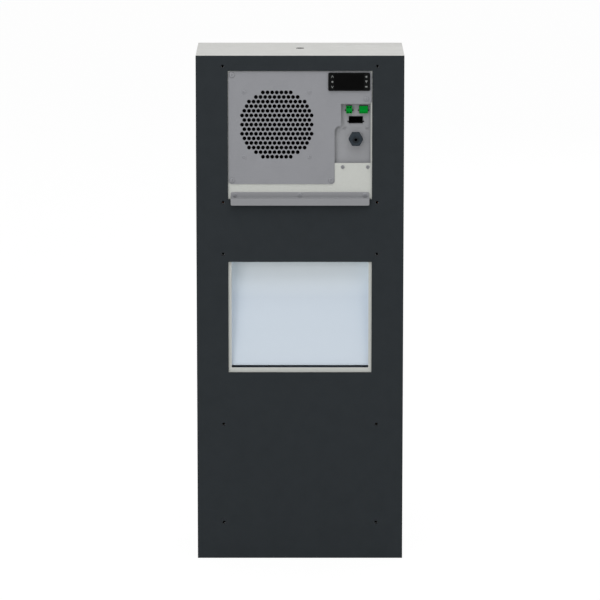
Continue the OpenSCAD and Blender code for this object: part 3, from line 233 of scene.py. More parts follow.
def foam_sheet():
    f = Finish("foam_sheet", tone(45, 49, 52), 0.92, Specular_IOR_Level=0.06)
    pores = f.cells(1400)
    f.colours(f.plus(f.noise(30, 5), f.times(pores, 0.35)), 0.95, 1.05, 0.35, 0.8)
    f.roughness(f.noise(40, 3), 0.88, 0.98)
    return f.bump(pores, 0.00025, 0.4).bump(f.noise(180, 4), 0.0002, 0.25).material


def foam_board(name, colour=tone(199, 209, 219), painted_light_z=None):
    """Smooth foam board. Given two heights, its colour grows paler towards the upper one:
    painted light against the shade under the cut-out's upper edge.
    """
    f = Finish(name, colour, 0.65, Specular_IOR_Level=0.2)
    clouds = f.noise(7, 4)
    if painted_light_z:
        rise = f.spread(f.level(), 0.0, 0.97, *painted_light_z)
        f.colours(f.plus(rise, f.times(clouds, 0.03)), 1.05, start=0.02, end=0.98)
        f.ramp.elements[1].color = PAINTED_LIGHT_TOP
        f.ramp.elements.new(0.5).color = shade(colour, 1.1)
    else:
        f.colours(clouds, 0.985, 1.01)
    f.roughness(f.noise(60, 3), 0.6, 0.72)
    return f.bump(f.cells(420), 0.0001, 0.18).bump(f.noise(70, 3), 0.0002, 0.15).material


def moulded(name, colour, rough, grain, shine):
    f = Finish(name, colour, rough, Specular_IOR_Level=shine)
    f.colours(f.noise(80, 4), 0.9, 1.1)
    f.roughness(f.noise(150, 3), rough - 0.06, rough + 0.1)
    return f.bump(f.noise(grain, 2), GRAIN_HEIGHT, GRAIN_STRENGTH).material


def green_with_painted_bands(bands=2):
    """The wide plug's plastic, with painted shade in bands along its upper and lower ledges
    and lighter bands between them.
    """
    f = Finish("green_moulding_painted_bands", tone(0, 132, 42), 0.45, Specular_IOR_Level=0.03)
    low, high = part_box("alarm_plug")
    rise = f.spread(f.level(), 0.0, 1.0, low[2], high[2])
    waves = f.node("ShaderNodeMath", operation="SINE")
    f.link(f.times(rise, bands * math.tau), waves.inputs[0])
    f.colours(f.plus(waves.outputs[0], f.times(f.noise(80, 4), 0.5)), 1.06, 0.84, 0.2, 1)
    f.roughness(f.noise(150, 3), 0.36, 0.5)
    return f.bump(f.noise(1200, 2), GRAIN_HEIGHT, GRAIN_STRENGTH).material


def rubber(name, colour, shine=0.15):
    f = Finish(name, colour, 0.75, Specular_IOR_Level=shine)
    f.colours(f.noise(60, 5), 0.88, 1.15)
    f.roughness(f.noise(120, 3), 0.68, 0.86)
    return f.bump(f.noise(900, 3), 0.0001, 0.4).material


def drawn_copper():
    f = Finish("drawn_copper", tone(196, 122, 86), 0.3, 0.95)
    f.colours(f.noise(30, 5), 0.75, 1.08)
    f.roughness(f.noise(90, 4, (1, 1, 5)), 0.24, 0.42)
    return f.bump(f.noise(400, 3), 0.00005, 0.3).material


def fin_stock():
    f = Finish("fin_stock", tone(190, 192, 196), 0.35, 0.8)
    f.colours(f.noise(50, 5), 0.85, 1.06)
    f.roughness(f.noise(120, 4, (1, 4, 1)), 0.3, 0.48)
    return f.bump(f.noise(350, 3), 0.0001, 0.3).material


def zinc_plate():
    f = Finish("zinc_plate", tone(146, 147, 150), 0.45, 0.6, Specular_IOR_Level=0.3)
    f.colours(f.noise(160, 4), 0.88, 1.08)
    f.roughness(f.noise(300, 3), 0.38, 0.55)
    return f.bump(f.noise(1200, 3), 0.00004, 0.4).material


def fleece():
    f = Finish("fleece", tone(206, 210, 208), 0.95, Sheen_Weight=0.3)
    strands = f.noise(320, 5, (1, 2.5, 1))
    f.colours(f.times(strands, f.noise(25, 4)), 0.7, 1.05, 0.12, 0.4)
    f.roughness(f.noise(80, 2), 0.88, 1.0)
    return f.bump(strands, 0.0012, 0.8).material


def black_enamel():
    f = Finish("black_enamel", tone(28, 28, 30), 0.35, Coat_Weight=0.3, Coat_Roughness=0.2)
    f.colours(f.noise(20, 4), 0.8, 1.2)
    f.roughness(f.noise(60, 3), 0.28, 0.45)
    return f.bump(f.noise(300, 3), 0.0002, 0.35).material


def circuit_laminate():
    f = Finish("circuit_laminate", tone(24, 74, 44), 0.35, Coat_Weight=0.3, Coat_Roughness=0.15)
    tracks = f.cells(260, (1, 1, 0.35))
    f.colours(tracks, 0.8, 1.5, 0.2, 0.35)
    f.roughness(f.noise(90, 3), 0.28, 0.42)
    return f.bump(tracks, 0.00005, 0.4).material


def smoked_window():
    f = Finish("smoked_window", tone(9, 9, 9), 0.35, Specular_IOR_Level=0.02)
    f.colours(f.noise(70, 3), 0.85, 1.1)
    f.roughness(f.noise(40, 5), 0.26, 0.38, 0.25, 0.8)
    return f.bump(f.noise(30, 2), 0.00004, 0.1).material


PAINT = powder_coat()
HOOD_PAINT = powder_coat("powder_coat_hood", tone(195, 195, 192))
SHEET = zinc_sheet()
# Near-black painted shade on the walls of the air holes and of the lifting hole
HOLE_WALL_SHADE = moulded("hole_wall_painted_shade", tone(22, 22, 24), 0.8, 900, 0.03)
# A paler copy of the zinc sheet for the recessed connection plate and its screws: painted light
# against the recess's shade
RECESS_PAINTED_LIGHT = zinc_sheet("zinc_sheet_recess_painted_light", tone(149, 150, 153), 0.55)
SOFT_ZINC = zinc_sheet("zinc_screw", tone(140, 141, 144), 0.5, 2.0)
FAINT_ZINC = zinc_sheet("zinc_screw_pale", tone(138, 139, 143), 0.5, 1.6)
# The lifting bracket under the hood's hole, dark grey as painted shade so the lifting hole reads
# dark
BRACKET_SHADE = zinc_sheet("zinc_bracket_painted_shade", tone(52, 53, 55), 0.6)
CASE = moulded("case_moulding", tone(12, 13, 13), 0.5, 1600, 0.06)
# Black plastic of the power socket; also painted shade inside the contact plug's openings
SOCKET_BLACK_AND_SHADE = moulded("socket_moulding_and_painted_shade", tone(5, 5, 5), 0.7, 1600, 0.03)
# The fan's black plastic, made near-black and without shine as painted shade, so the fan plate's
# holes read black
SHADE_BLACK = moulded("fan_moulding_painted_shade", tone(4, 4, 5), 0.9, 900, 0.0)
BLACK = moulded("black_moulding", tone(16, 17, 17), 0.48, 1600, 0.15)
GREEN = moulded("green_moulding", tone(0, 132, 40), 0.45, 1200, 0.03)
GLAND_GREY = moulded("gland_moulding", tone(48, 55, 61), 0.6, 1500, 0.05)
KEY_BLACK = moulded("key_foil", tone(12, 13, 13), 0.5, 2200, 0.06)
PRINT = moulded("grey_print", tone(128, 130, 128), 0.7, 2500, 0.05)
# Near-black painted shade on the walls of the fixing holes
BORE_SHADE = moulded("shaded_bore", tone(5, 5, 6), 0.9, 900, 0.0)
# The duct's foam lining, made dark as painted shade so that the fan plate's holes read black
DUCT_WALL_SHADE = foam_board("foam_lining", tone(38, 42, 48))
# The pale board colour on the lining's floor: painted light, so that the shaded gap below the
# baffle reads lighter
DUCT_FLOOR_LIGHT = foam_board("duct_floor_painted_light")
# The baffle board, with painted light towards its top
BOARD_PAINTED_LIGHT = foam_board("foam_board_painted_light", painted_light_z=PAINTED_LIGHT_Z)
FLEECE = fleece()

LOOK_OF_SLOT = {
    "painted_sheet": PAINT, "galvanised_sheet": SHEET, "zinc_fastener": zinc_plate(),
    "foam_seal": foam_sheet(), "filter_fleece": FLEECE, "aluminium_fin": fin_stock(),
    "copper_tube": drawn_copper(), "black_enamel": black_enamel(), "black_plastic": BLACK,
    "black_rubber": rubber("black_rubber", tone(26, 26, 28)),
    "seal_rubber": rubber("gland_rubber", tone(41, 46, 50), 0.04),
    "gland_plastic": GLAND_GREY, "green_plastic": GREEN, "circuit_board": circuit_laminate(),
    "display_plastic": smoked_window(), "key_plastic": KEY_BLACK,
}
LOOK_OF_NODE = {
    "hood": HOOD_PAINT, "intake_grille": HOOD_PAINT, "base_pan": HOOD_PAINT,
    "hanging_hook": zinc_with_painted_fold_shade(HOOK_FOLD_Z, HOOK_TOP_Z), "lifting_bracket": BRACKET_SHADE,
    "connection_plate": RECESS_PAINTED_LIGHT, "connection_screws": SOFT_ZINC, "fan_plate_screws": FAINT_ZINC,
    "hook_screws": FAINT_ZINC, "fan_screws": SHEET, "power_socket": SOCKET_BLACK_AND_SHADE,
    "controller_body": CASE, "alarm_plug": green_with_painted_bands(), "evaporator_fan_frame": SHADE_BLACK,
    "evaporator_fan_rotor": SHADE_BLACK, "duct_lining": DUCT_WALL_SHADE, "outlet_baffle": BOARD_PAINTED_LIGHT,
}


def look_of(node):
    return LOOK_OF_NODE.get(node) or LOOK_OF_SLOT[slot_of_node[node]]


for name, obj in nodes.items():
    obj.data.materials.clear()
    obj.data.materials.append(look_of(name))

# Pieces. Angles are in degrees: faces that meet at less than a piece's sharp angle look smooth.
PRINT_SHARP, EASED_SHARP, RECIPE_SHARP, SCREW_SHARP = 35, 40, 60, 32
FLAT_ANGLE, CORNER_ANGLE = 0.5, 30
WELD_DISTANCE = 2e-6
HOOD_EDGE, HOOK_EDGE = 0.05, 0.2  # the least length of the edges that are eased widely
LEAN = 0.5  # a face is a hole's wall if its normal has less than this along the hole's axis


def piece(name, mesh, material, body, sharp):
    """A finished mesh as a piece of the object."""
    made = bpy.data.objects.new(name, mesh)
    bpy.context.scene.collection.objects.link(made)
    if not mesh.materials:
        mesh.materials.append(material)
    mesh.shade_smooth()
    mesh.set_sharp_from_angle(angle=math.radians(sharp))
    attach(made, body)
    return made


def merged(node):
    """A copy of a CAD node's mesh with its loose triangles joined."""
    shape = bmesh.new()
    shape.from_mesh(nodes[node].data)
    bmesh.ops.remove_doubles(shape, verts=shape.verts, dist=WELD_DISTANCE)
    return shape


def lumps(node):
    """The lowest and highest corner of each separate lump of a CAD node, in a fixed order."""
    shape = merged(node)
    left, found = set(shape.verts), []
    while left:
        front = [left.pop()]
        places = []
        while front:
            vert = front.pop()
            places.append(vert.co.copy())
            for edge in vert.link_edges:
                other = edge.other_vert(vert)
                if other in left:
                    left.remove(other)
                    front.append(other)
        found.append([Vector([pick(p[k] for p in places) for k in range(3)])
                      for pick in (min, max)])
    shape.free()
    return sorted(found, key=lambda corners: tuple(corners[0]))


def eased(node, name, width, segments=1, chosen=None, wide=None, inner=None):
    """A copy of a CAD node with its edges eased, as folded, moulded or cut edges are.
    Edges for which chosen(middle, length) holds get the width. wide holds a test of the same
    kind and a width for the edges that pass it. inner holds a test (middle, normal) and the
    material of the faces that pass it."""
    shape = merged(node)
    bmesh.ops.dissolve_limit(shape, angle_limit=math.radians(FLAT_ANGLE), verts=shape.verts,
                             edges=shape.edges)

    def bevel(test, offset, steps):
        corners = [e for e in shape.edges
                   if e.is_manifold and e.calc_face_angle(0) > math.radians(CORNER_ANGLE)
                   and test((e.verts[0].co + e.verts[1].co) / 2, e.calc_length())]
        bmesh.ops.bevel(shape, geom=corners, offset=offset, segments=steps, profile=0.5,
                        affect="EDGES", clamp_overlap=True)

    if wide:
        bevel(*wide, segments + 2)
    if width:
        bevel(chosen or longer(0), width, segments)
    # Where edges meet at a slant, a bevel can slide out of the node's box.
    low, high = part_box(node)
    for vert in shape.verts:
        vert.co = [min(max(c, least), most) for c, least, most in zip(vert.co, low, high)]
    mesh = bpy.data.meshes.new(name)
    mesh.materials.append(look_of(node))
    if inner:
        test, material = inner
        mesh.materials.append(material)
        for face in shape.faces:
            face.material_index = int(test(face.calc_center_median(), face.normal))
    shape.to_mesh(mesh)
    shape.free()
    made = piece(name, mesh, look_of(node), body_of_node[node], EASED_SHARP)
    weighted = made.modifiers.new("even shading", "WEIGHTED_NORMAL")
    weighted.keep_sharp = True
    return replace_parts(made, node)


def longer(least):
    """A test that holds on edges longer than a length."""
    return lambda middle, length: length > least


def on_hood_top(middle, length):
    return middle.z > HOOD_TOP - 0.2 * MM and length > HOOD_EDGE


def on_hook_fold(middle, length):
    return abs(middle.z - HOOK_FOLD_Z) < 2 * MM and length > HOOK_EDGE


def in_air_hole(middle, normal):
    """True on the walls of the fan plate's round holes, which take painted shade."""
    near = math.hypot(middle.x - FAN_X, middle.z - FAN_Z) < FAN_REACH
    return near and abs(normal.y) < LEAN


def in_fixing_hole(middle, normal):
    """True on the walls of the holes behind the ten fixing points, which take painted shade."""
    return abs(abs(middle.x) - FIX_X) < FIX_REACH and abs(normal.y) < LEAN


def in_lifting_hole(middle, normal):
    """True on the wall of the hole in the hood's top, which takes painted shade."""
    return math.hypot(middle.x, middle.y - LIFT_Y) < LIFT_REACH and abs(normal.z) < LEAN


def on_duct_floor(middle, normal):
    """True on the lining's floor, which shows through the gap below the baffle and takes
    painted light there.
    """
    return middle.z < DUCT_FLOOR_Z and normal.z > LEAN


def inside_of(node, rim, depth):
    """A test that holds on the faces within a node's outline, deeper than its front."""
    low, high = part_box(node)

    def test(middle, normal):
        return (low[0] + rim < middle.x < high[0] - rim and low[2] + rim < middle.z < high[2] - rim
                and middle.y > low[1] + depth)
    return test


# Widths and the least lengths of edges are in metres.
eased("hood", "hood_shell", 0, 2, wide=(on_hood_top, 0.0016), inner=(in_lifting_hole, HOLE_WALL_SHADE))
eased("mounting_seal", "seal_sheet", 0.0005, 2, inner=(in_fixing_hole, BORE_SHADE))
eased("rear_panel", "rear_panel_sheet", 0.0002, chosen=longer(0.002), inner=(in_fixing_hole, BORE_SHADE))
eased("weld_nuts", "threaded_nuts", 0.0002, inner=(in_fixing_hole, BORE_SHADE))
eased("fan_plate", "fan_plate_sheet", 0.00015, chosen=longer(0.004), inner=(in_air_hole, HOLE_WALL_SHADE))
eased("hanging_hook", "hook_bracket", 0.00025, wide=(on_hook_fold, 0.0009))
eased("connection_plate", "connection_sheet", 0.0002)
eased("outlet_baffle", "baffle_board", 0.0012, 2)
eased("duct_lining", "duct_foam", 0.0003, inner=(on_duct_floor, DUCT_FLOOR_LIGHT))
eased("controller_body", "controller_case", 0.0004, 2)
eased("display_window", "display_pane", 0.0002)
# The contact plug's faces deeper than its front take near-black painted shade
eased("contact_plug", "contact_plug_case", 0.0002,
      inner=(inside_of("contact_plug", 0.0004, 0.0006), SOCKET_BLACK_AND_SHADE))
eased("alarm_plug", "alarm_plug_case", 0.00025)
eased("power_socket", "power_socket_case", 0.0002)
eased("gland_nut", "gland_cap", 0.0004, 2)
eased("gland_body", "gland_base", 0.0003)
eased("intake_grille", "intake_louvre", 0.0005)
eased("base_pan", "base_pan_sheet", 0.0005)
for key in ("key_up", "key_set", "key_down"):
    eased(key, key + "_cap", 0.0003, 2)


# Printed symbols of the controller, in millimetres round their middles
def mark(name, outline, x, y, z, body):
    """A printed symbol, a hair proud of the face at y."""
    shape = bmesh.new()
    face = shape.faces.new([shape.verts.new((x + u * MM, y, z + v * MM)) for u, v in outline])
    grown = bmesh.ops.extrude_face_region(shape, geom=[face])
    moved = [v for v in grown["geom"] if isinstance(v, bmesh.types.BMVert)]
    bmesh.ops.translate(shape, verts=moved, vec=(0, -PRINT_THICK, 0))
    bmesh.ops.recalc_face_normals(shape, faces=shape.faces)
    mesh = bpy.data.meshes.new(name)
    shape.to_mesh(mesh)
    shape.free()
    return piece(name, mesh, PRINT, body, PRINT_SHARP)


def star(count, outer, inner):
    return [(reach * math.cos(math.pi * k / count), reach * math.sin(math.pi * k / count))
            for k, reach in enumerate((inner, outer) * count)]


CHEVRON_UP = [(-2.5, -1.9), (-1.6, -1.9), (0, 1.0), (1.6, -1.9), (2.5, -1.9), (0.4, 2.3),
              (-0.4, 2.3)]
CHEVRON_DOWN = [(u, -v) for u, v in reversed(CHEVRON_UP)]
DIAL = star(8, 2.2, 1.5)
SUN = star(8, 2.5, 1.4)
FUNNEL = [(-2.4, 2.2), (-2.4, 1.2), (-0.6, -0.6), (-0.6, -2.5), (0.6, -2.5), (0.6, -0.6),
          (2.4, 1.2), (2.4, 2.2)]
FLAG = [(-2.4, -0.4), (-1.5, -1.3), (2.2, -1.3), (2.2, 0.8), (1.1, 1.3), (-1.5, 1.3), (-2.4, 0.8)]

for key, outline, rise in (("key_up", CHEVRON_UP, 0), ("key_set", DIAL, 0),
                           ("key_down", CHEVRON_DOWN, 0.3)):
    low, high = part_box(key)
    mark(key + "_symbol", outline, (low[0] + high[0]) / 2 + KEY_SYMBOL_SHIFT, low[1],
         (low[2] + high[2]) / 2 + rise * MM, body_of_node[key])
case_face_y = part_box("controller_body")[0][1]
for name, outline, rise in (("run_symbol", SUN, 9.8), ("filter_symbol", FUNNEL, 0.3),
                            ("alarm_symbol", FLAG, -9.4)):
    mark(name, outline, SYMBOL_X, case_face_y, SYMBOL_Z + rise * MM,
         body_of_node["controller_body"])

# What repeats
UPRIGHT = (math.pi / 2, 0, 0)


class Recipe:
    """A geometry node tree with named sizes, which runs once on a mesh of points or faces."""

    def __init__(self, name, material, **sizes):
        self.tree = bpy.data.node_groups.new(name, "GeometryNodeTree")
        self.material = material
        plan = self.tree.interface
        plan.new_socket("Geometry", in_out="INPUT", socket_type="NodeSocketGeometry")
        plan.new_socket("Geometry", in_out="OUTPUT", socket_type="NodeSocketGeometry")
        for label, value in sizes.items():
            kind = "NodeSocketInt" if isinstance(value, int) else "NodeSocketFloat"
            plan.new_socket(label, in_out="INPUT", socket_type=kind)
        self.sizes = sizes
        self.given = self.tree.nodes.new("NodeGroupInput").outputs

    def add(self, kind, out, wired=None, values=None, **settings):
        """Adds a node, wires and sets its inputs, and returns the named output."""
        made = self.tree.nodes.new(kind)
        for key, value in settings.items():
            setattr(made, key, value)
        for socket, source in (wired or {}).items():
            self.tree.links.new(source, made.inputs[socket])
        for socket, value in (values or {}).items():
            made.inputs[socket].default_value = value
        return made.outputs[out]

    def close(self, geometry):
        real = self.add("GeometryNodeRealizeInstances", "Geometry", {"Geometry": geometry})
        done = self.add("GeometryNodeSetMaterial", "Geometry", {"Geometry": real},
                        {"Material": self.material})
        end = self.tree.nodes.new("NodeGroupOutput")
        self.tree.links.new(done, end.inputs["Geometry"])
        return self

    def mesh(self, name, start):
        """Runs the tree on the start mesh and returns the result as a plain mesh."""
        maker = bpy.data.objects.new(name + "_maker", start)
        bpy.context.scene.collection.objects.link(maker)
        step = maker.modifiers.new("recipe", "NODES")
        step.node_group = self.tree
        for item in self.tree.interface.items_tree:
            if item.name in self.sizes and item.in_out == "INPUT":
                step[item.identifier] = self.sizes[item.name]
        bpy.context.view_layer.update()
        ready = maker.evaluated_get(bpy.context.evaluated_depsgraph_get())
        mesh = bpy.data.meshes.new_from_object(ready)
        mesh.name = name
        maker.modifiers.remove(step)
        bpy.data.objects.remove(maker)
        shape = bmesh.new()
        shape.from_mesh(mesh)
        bmesh.ops.recalc_face_normals(shape, faces=shape.faces)
        shape.to_mesh(mesh)
        shape.free()
        return mesh

    def run(self, name, start, body, slot):
        return piece(name, self.mesh(name, start), self.material, body, RECIPE_SHARP)


def points(name, places):
    mesh = bpy.data.meshes.new(name)
    mesh.from_pydata([tuple(p) for p in places], [], [])
    return mesh


def rim_recipe(name, material, **sizes):
    """A rolled rim round a rounded slot of the given width and height, one at each point."""
    r = Recipe(name, material, **sizes)
    outline = r.add("GeometryNodeCurvePrimitiveQuadrilateral", "Curve",
                    {"Width": r.given["Width"], "Height": r.given["Height"]})
    fillet = r.add("GeometryNodeFilletCurve", "Curve",
                   {"Curve": outline, "Radius": r.given["Corner"]}, {"Count": 4}, mode="POLY")
    section = r.add("GeometryNodeCurvePrimitiveCircle", "Curve", {"Radius": r.given["Roll"]},
                    {"Resolution": 5})
    rim = r.add("GeometryNodeCurveToMesh", "Mesh", {"Curve": fillet, "Profile Curve": section})
    upright = r.add("GeometryNodeTransform", "Geometry", {"Geometry": rim},
                    {"Rotation": UPRIGHT})
    placed = r.add("GeometryNodeInstanceOnPoints", "Instances",
                   {"Points": r.given["Geometry"], "Instance": upright})
    return r.close(placed)


def fibre_recipe(name, material, tilt=0.2, **sizes):
    """Short bent fibres that lie on a face within the tilt, with a fixed seed."""
    r = Recipe(name, material, **sizes)
    spots = r.add("GeometryNodeDistributePointsOnFaces", "Points",
                  {"Mesh": r.given["Geometry"], "Density": r.given["Density"],
                   "Seed": r.given["Seed"]})
    arc = r.add("GeometryNodeCurveArc", "Curve", {"Radius": r.given["Reach"]},
                {"Resolution": 4, "Sweep Angle": 1.3})
    section = r.add("GeometryNodeCurvePrimitiveCircle", "Curve",
                    {"Radius": r.given["Thickness"]}, {"Resolution": 3})
    strand = r.add("GeometryNodeCurveToMesh", "Mesh", {"Curve": arc, "Profile Curve": section},
                   {"Fill Caps": True})
    lying = r.add("GeometryNodeTransform", "Geometry", {"Geometry": strand},
                  {"Rotation": UPRIGHT})
    spin = r.add("FunctionNodeRandomValue", "Value", {"Seed": r.given["Seed"]},
                 {"Min": (-tilt, 0, -tilt), "Max": (tilt, math.tau, tilt)},
                 data_type="FLOAT_VECTOR")
    placed = r.add("GeometryNodeInstanceOnPoints", "Instances",
                   {"Points": spots, "Instance": lying, "Rotation": spin})
    return r.close(placed)


# A screw's profile in shares of its head's radius and height, and its least parts in metres
HEAD_PROFILE = ((0.66, 0), (0.85, 0.14), (0.96, 0.42), (1, 0.75), (1, 1))
HEAD_SIDES = 32
CROSS_HALF, SLOT_HALF = 0.00045, 0.0006
DRIVE_TAPER, DRIVE_DEPTH = 0.8, 0.6
SHANK_SHARE, SHANK_MOST = 0.55, 0.002
TIP_SHARE, TIP_LENGTH = 0.6, 0.001


def screw_pattern(radius, head_h, length, slots, drive):
    """One screw along Y with its head's front at the origin: a domed head, its drive and a
    plain shank."""
    shape = bmesh.new()
    reach = radius * drive
    if slots > 1:
        half = CROSS_HALF
        outline = [(reach, -half), (reach, half), (half, half), (half, reach), (-half, reach),
                   (-half, half), (-reach, half), (-reach, -half), (-half, -half),
                   (-half, -reach), (half, -reach), (half, -half)]
    else:
        half = SLOT_HALF
        outline = [(-half, -reach), (half, -reach), (half, reach), (-half, reach)]

    def ring(corners, y):
        return [shape.verts.new((u, y, v)) for u, v in corners]

    def turned(r, y):
        angles = [math.tau * k / HEAD_SIDES for k in range(HEAD_SIDES)]
        return ring([(r * math.cos(a), r * math.sin(a)) for a in angles], y)

    def band(one, other):
        for k in range(len(one)):
            after = (k + 1) % len(one)
            shape.faces.new((one[k], one[after], other[after], other[k]))

    recess = ring(outline, 0)
    bottom = ring([(u * DRIVE_TAPER, v * DRIVE_TAPER) for u, v in outline], head_h * DRIVE_DEPTH)
    band(recess, bottom)
    shape.faces.new(bottom)
    rings = [turned(radius * r, head_h * h) for r, h in HEAD_PROFILE]
    shank = min(SHANK_MOST, radius * SHANK_SHARE)
    rings += [turned(shank, head_h), turned(shank, length - TIP_LENGTH),
              turned(shank * TIP_SHARE, length)]
    for one, other in zip(rings, rings[1:]):
        band(one, other)
    shape.faces.new(rings[-1])
    edges = {e for loop in (recess, rings[0]) for v in loop for e in v.link_edges
             if all(w in loop for w in e.verts)}
    bmesh.ops.triangle_fill(shape, edges=list(edges), use_beauty=True)
    mesh = bpy.data.meshes.new("screw_pattern")
    shape.to_mesh(mesh)
    shape.free()
    return mesh


def screw_recipe(name, material, pattern, **sizes):
    """The pattern at each point, turned round its own axis."""
    r = Recipe(name, material, **sizes)
    screw = r.add("GeometryNodeObjectInfo", "Geometry", values={"Object": pattern})
    spin = r.add("ShaderNodeCombineXYZ", "Vector", {"Y": r.given["Turn"]})
    placed = r.add("GeometryNodeInstanceOnPoints", "Instances",
                   {"Points": r.given["Geometry"], "Instance": screw, "Rotation": spin})
    return r.close(placed)


def screws(node, name, head_h, slots, drive=0.5, turn=0.0, recessed=None):
    """The screws of a CAD node that face the cabinet, with a cross or one slot as the drive.
    Those that lie in the recess take the recessed material, if there is one, such as the paler
    recess zinc, which is painted light."""
    rows = {}  # the screws of each depth, which share a pattern
    for low, high in lumps(node):
        rows.setdefault(round(low.y / MM, 1), []).append((low, high))
    shape = bmesh.new()
    mesh = bpy.data.meshes.new(name)
    for index, row in enumerate(rows.values()):
        low, high = row[0]
        material = recessed if recessed and low.y > RECESSED_Y else look_of(node)
        cut = screw_pattern((high.x - low.x) / 2, head_h, high.y - low.y, slots, drive)
        pattern = bpy.data.objects.new("screw_pattern", cut)
        bpy.context.scene.collection.objects.link(pattern)
        places = [((p.x + q.x) / 2, p.y, (p.z + q.z) / 2) for p, q in row]
        recipe = screw_recipe(name + "_recipe", material, pattern, Turn=turn)
        made = recipe.mesh(name, points("screw_places", places))
        bpy.data.objects.remove(pattern)
        start = len(shape.faces)
        shape.from_mesh(made)
        shape.faces.ensure_lookup_table()
        for face in shape.faces[start:]:
            face.material_index = index
        mesh.materials.append(material)
    shape.to_mesh(mesh)
    shape.free()
    made = piece(name, mesh, look_of(node), body_of_node[node], SCREW_SHARP)
    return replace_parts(made, node)


screws("fan_plate_screws", "plate_screw_heads", head_h=0.0016, slots=1, drive=0.45)
screws("fan_screws", "fan_screw_heads", head_h=0.0008, slots=2, turn=0.5)
screws("hook_screws", "hook_screw_heads", head_h=0.0016, slots=2, turn=0.3)
screws("connection_screws", "connection_screw_heads", head_h=0.0016, slots=2, turn=0.2,
       recessed=RECESS_PAINTED_LIGHT)

vent_places = [((j - (VENT_COLUMNS - 1) / 2) * VENT_STEP, HOOD_FRONT_Y,
                VENT_Z + (i - (VENT_ROWS - 1) / 2) * VENT_RISE)
               for i in range(VENT_ROWS) for j in range(VENT_COLUMNS)]
vent_rims = rim_recipe("vent_rim", HOOD_PAINT, Width=VENT_WIDTH + VENT_RIM_GAP,
                       Height=VENT_HEIGHT + VENT_RIM_GAP,
                       Corner=VENT_HEIGHT * VENT_CORNER_SHARE, Roll=VENT_RIM_ROLL)
vent_rims.run("vent_rims", points("vent_places", vent_places), body_of_node["hood"],
              "painted_sheet")

mat_low, mat_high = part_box("filter_mat")
mat_xs, mat_zs = [(mat_low[k] + MAT_MARGIN, mat_high[k] - MAT_MARGIN) for k in (0, 2)]
mat_face = bpy.data.meshes.new("mat_face")
mat_face.from_pydata([(mat_xs[i], mat_high[1], mat_zs[j])
                      for i, j in ((0, 0), (1, 0), (1, 1), (0, 1))], [], [(3, 2, 1, 0)])
mat_fibres = fibre_recipe("fleece_fibre", FLEECE, Density=24000.0, Seed=7, Reach=0.0035,
                          Thickness=0.00009)
mat_fibres.run("mat_fibres", mat_face, body_of_node["filter_mat"], "filter_fleece")

# The room: a white floor, white surroundings, three lamps and the camera
FLOOR_REACH, FLOOR_Z = 40, -0.0003
FLOOR_PAINT, FLOOR_GLOW, FLOOR_GLOW_SHARE = (0.86, 0.86, 0.86, 1), 1.05, 0.88
WORLD_LIGHT = 0.57
SENSOR_WIDTH, LENS, CLIP_END = 36, 235.5, 100
CAMERA_PLACE, CAMERA_AIM = (0, -7.573, 1.898), (0, 0.0045, 0.494)


def seen_rays(tree):
    """1 on the rays that see the room itself, 0 on those that only gather its light."""
    path = tree.nodes.new("ShaderNodeLightPath")
    seen = path.outputs["Is Camera Ray"]
    for ray in ("Is Glossy Ray", "Is Transmission Ray"):
        add = tree.nodes.new("ShaderNodeMath")
        add.use_clamp = True
        tree.links.new(seen, add.inputs[0])
        tree.links.new(path.outputs[ray], add.inputs[1])
        seen = add.outputs[0]
    return seen


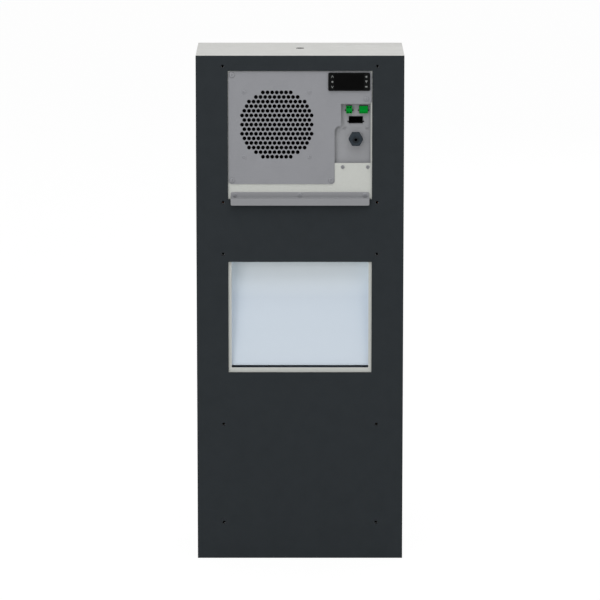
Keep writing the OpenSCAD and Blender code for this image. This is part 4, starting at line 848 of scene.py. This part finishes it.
def floor():
    mesh = bpy.data.meshes.new("floor")
    corners = [(u * FLOOR_REACH, v * FLOOR_REACH, FLOOR_Z)
               for u, v in ((-1, -1), (1, -1), (1, 1), (-1, 1))]
    mesh.from_pydata(corners, [], [(0, 1, 2, 3)])
    made = bpy.data.objects.new("floor", mesh)
    bpy.context.scene.collection.objects.link(made)
    f = Finish("floor_paint", FLOOR_PAINT, 0.9, Specular_IOR_Level=0.1)
    f.colours(f.noise(2, 3), 0.99, 1.0)
    white = f.node("ShaderNodeEmission")
    white.inputs["Strength"].default_value = FLOOR_GLOW
    mix = f.node("ShaderNodeMixShader")
    f.link(f.times(seen_rays(f.tree), FLOOR_GLOW_SHARE), mix.inputs["Fac"])
    f.link(f.shader.outputs["BSDF"], mix.inputs[1])
    f.link(white.outputs["Emission"], mix.inputs[2])
    f.link(mix.outputs["Shader"], f.tree.nodes["Material Output"].inputs["Surface"])
    mesh.materials.append(f.material)


def aimed(made, place, aim):
    """Puts a lamp or camera at its place, turned towards its aim."""
    made.location = place
    turn = (Vector(aim) - Vector(place)).to_track_quat("-Z", "Y")
    made.rotation_euler = turn.to_euler()
    bpy.context.scene.collection.objects.link(made)
    return made


def lamp(name, place, aim, size, power):
    data = bpy.data.lights.new(name, "AREA")
    data.size = size
    data.energy = power
    aimed(bpy.data.objects.new(name, data), place, aim)


def world_light(strength):
    """White to the rays that see it, softer to those that light the object."""
    world = bpy.data.worlds.new("studio")
    bpy.context.scene.world = world
    world.use_nodes = True
    tree = world.node_tree
    tree.nodes.clear()
    mix = tree.nodes.new("ShaderNodeMixShader")
    tree.links.new(seen_rays(tree), mix.inputs["Fac"])
    for socket, power in ((1, strength), (2, 1)):
        light = tree.nodes.new("ShaderNodeBackground")
        light.inputs["Color"].default_value = (1, 1, 1, 1)
        light.inputs["Strength"].default_value = power
        tree.links.new(light.outputs[0], mix.inputs[socket])
    out = tree.nodes.new("ShaderNodeOutputWorld")
    tree.links.new(mix.outputs[0], out.inputs["Surface"])


def camera():
    data = bpy.data.cameras.new("camera")
    data.sensor_width = SENSOR_WIDTH
    data.lens = LENS
    data.clip_end = CLIP_END
    bpy.context.scene.camera = aimed(bpy.data.objects.new("camera", data), CAMERA_PLACE,
                                     CAMERA_AIM)


floor()
world_light(WORLD_LIGHT)
lamp("top_soft_box", (0, -1.6, 3.6), aim=(0, 0, 0.6), size=3.0, power=54)
lamp("front_soft_box", (-2.2, -4.5, 1.6), aim=(0, 0, 0.5), size=2.5, power=38)
lamp("back_soft_box", (2.4, 4.2, 2.2), aim=(0, 0, 0.5), size=2.5, power=38)
camera()
bpy.context.scene.view_settings.view_transform = "Standard"
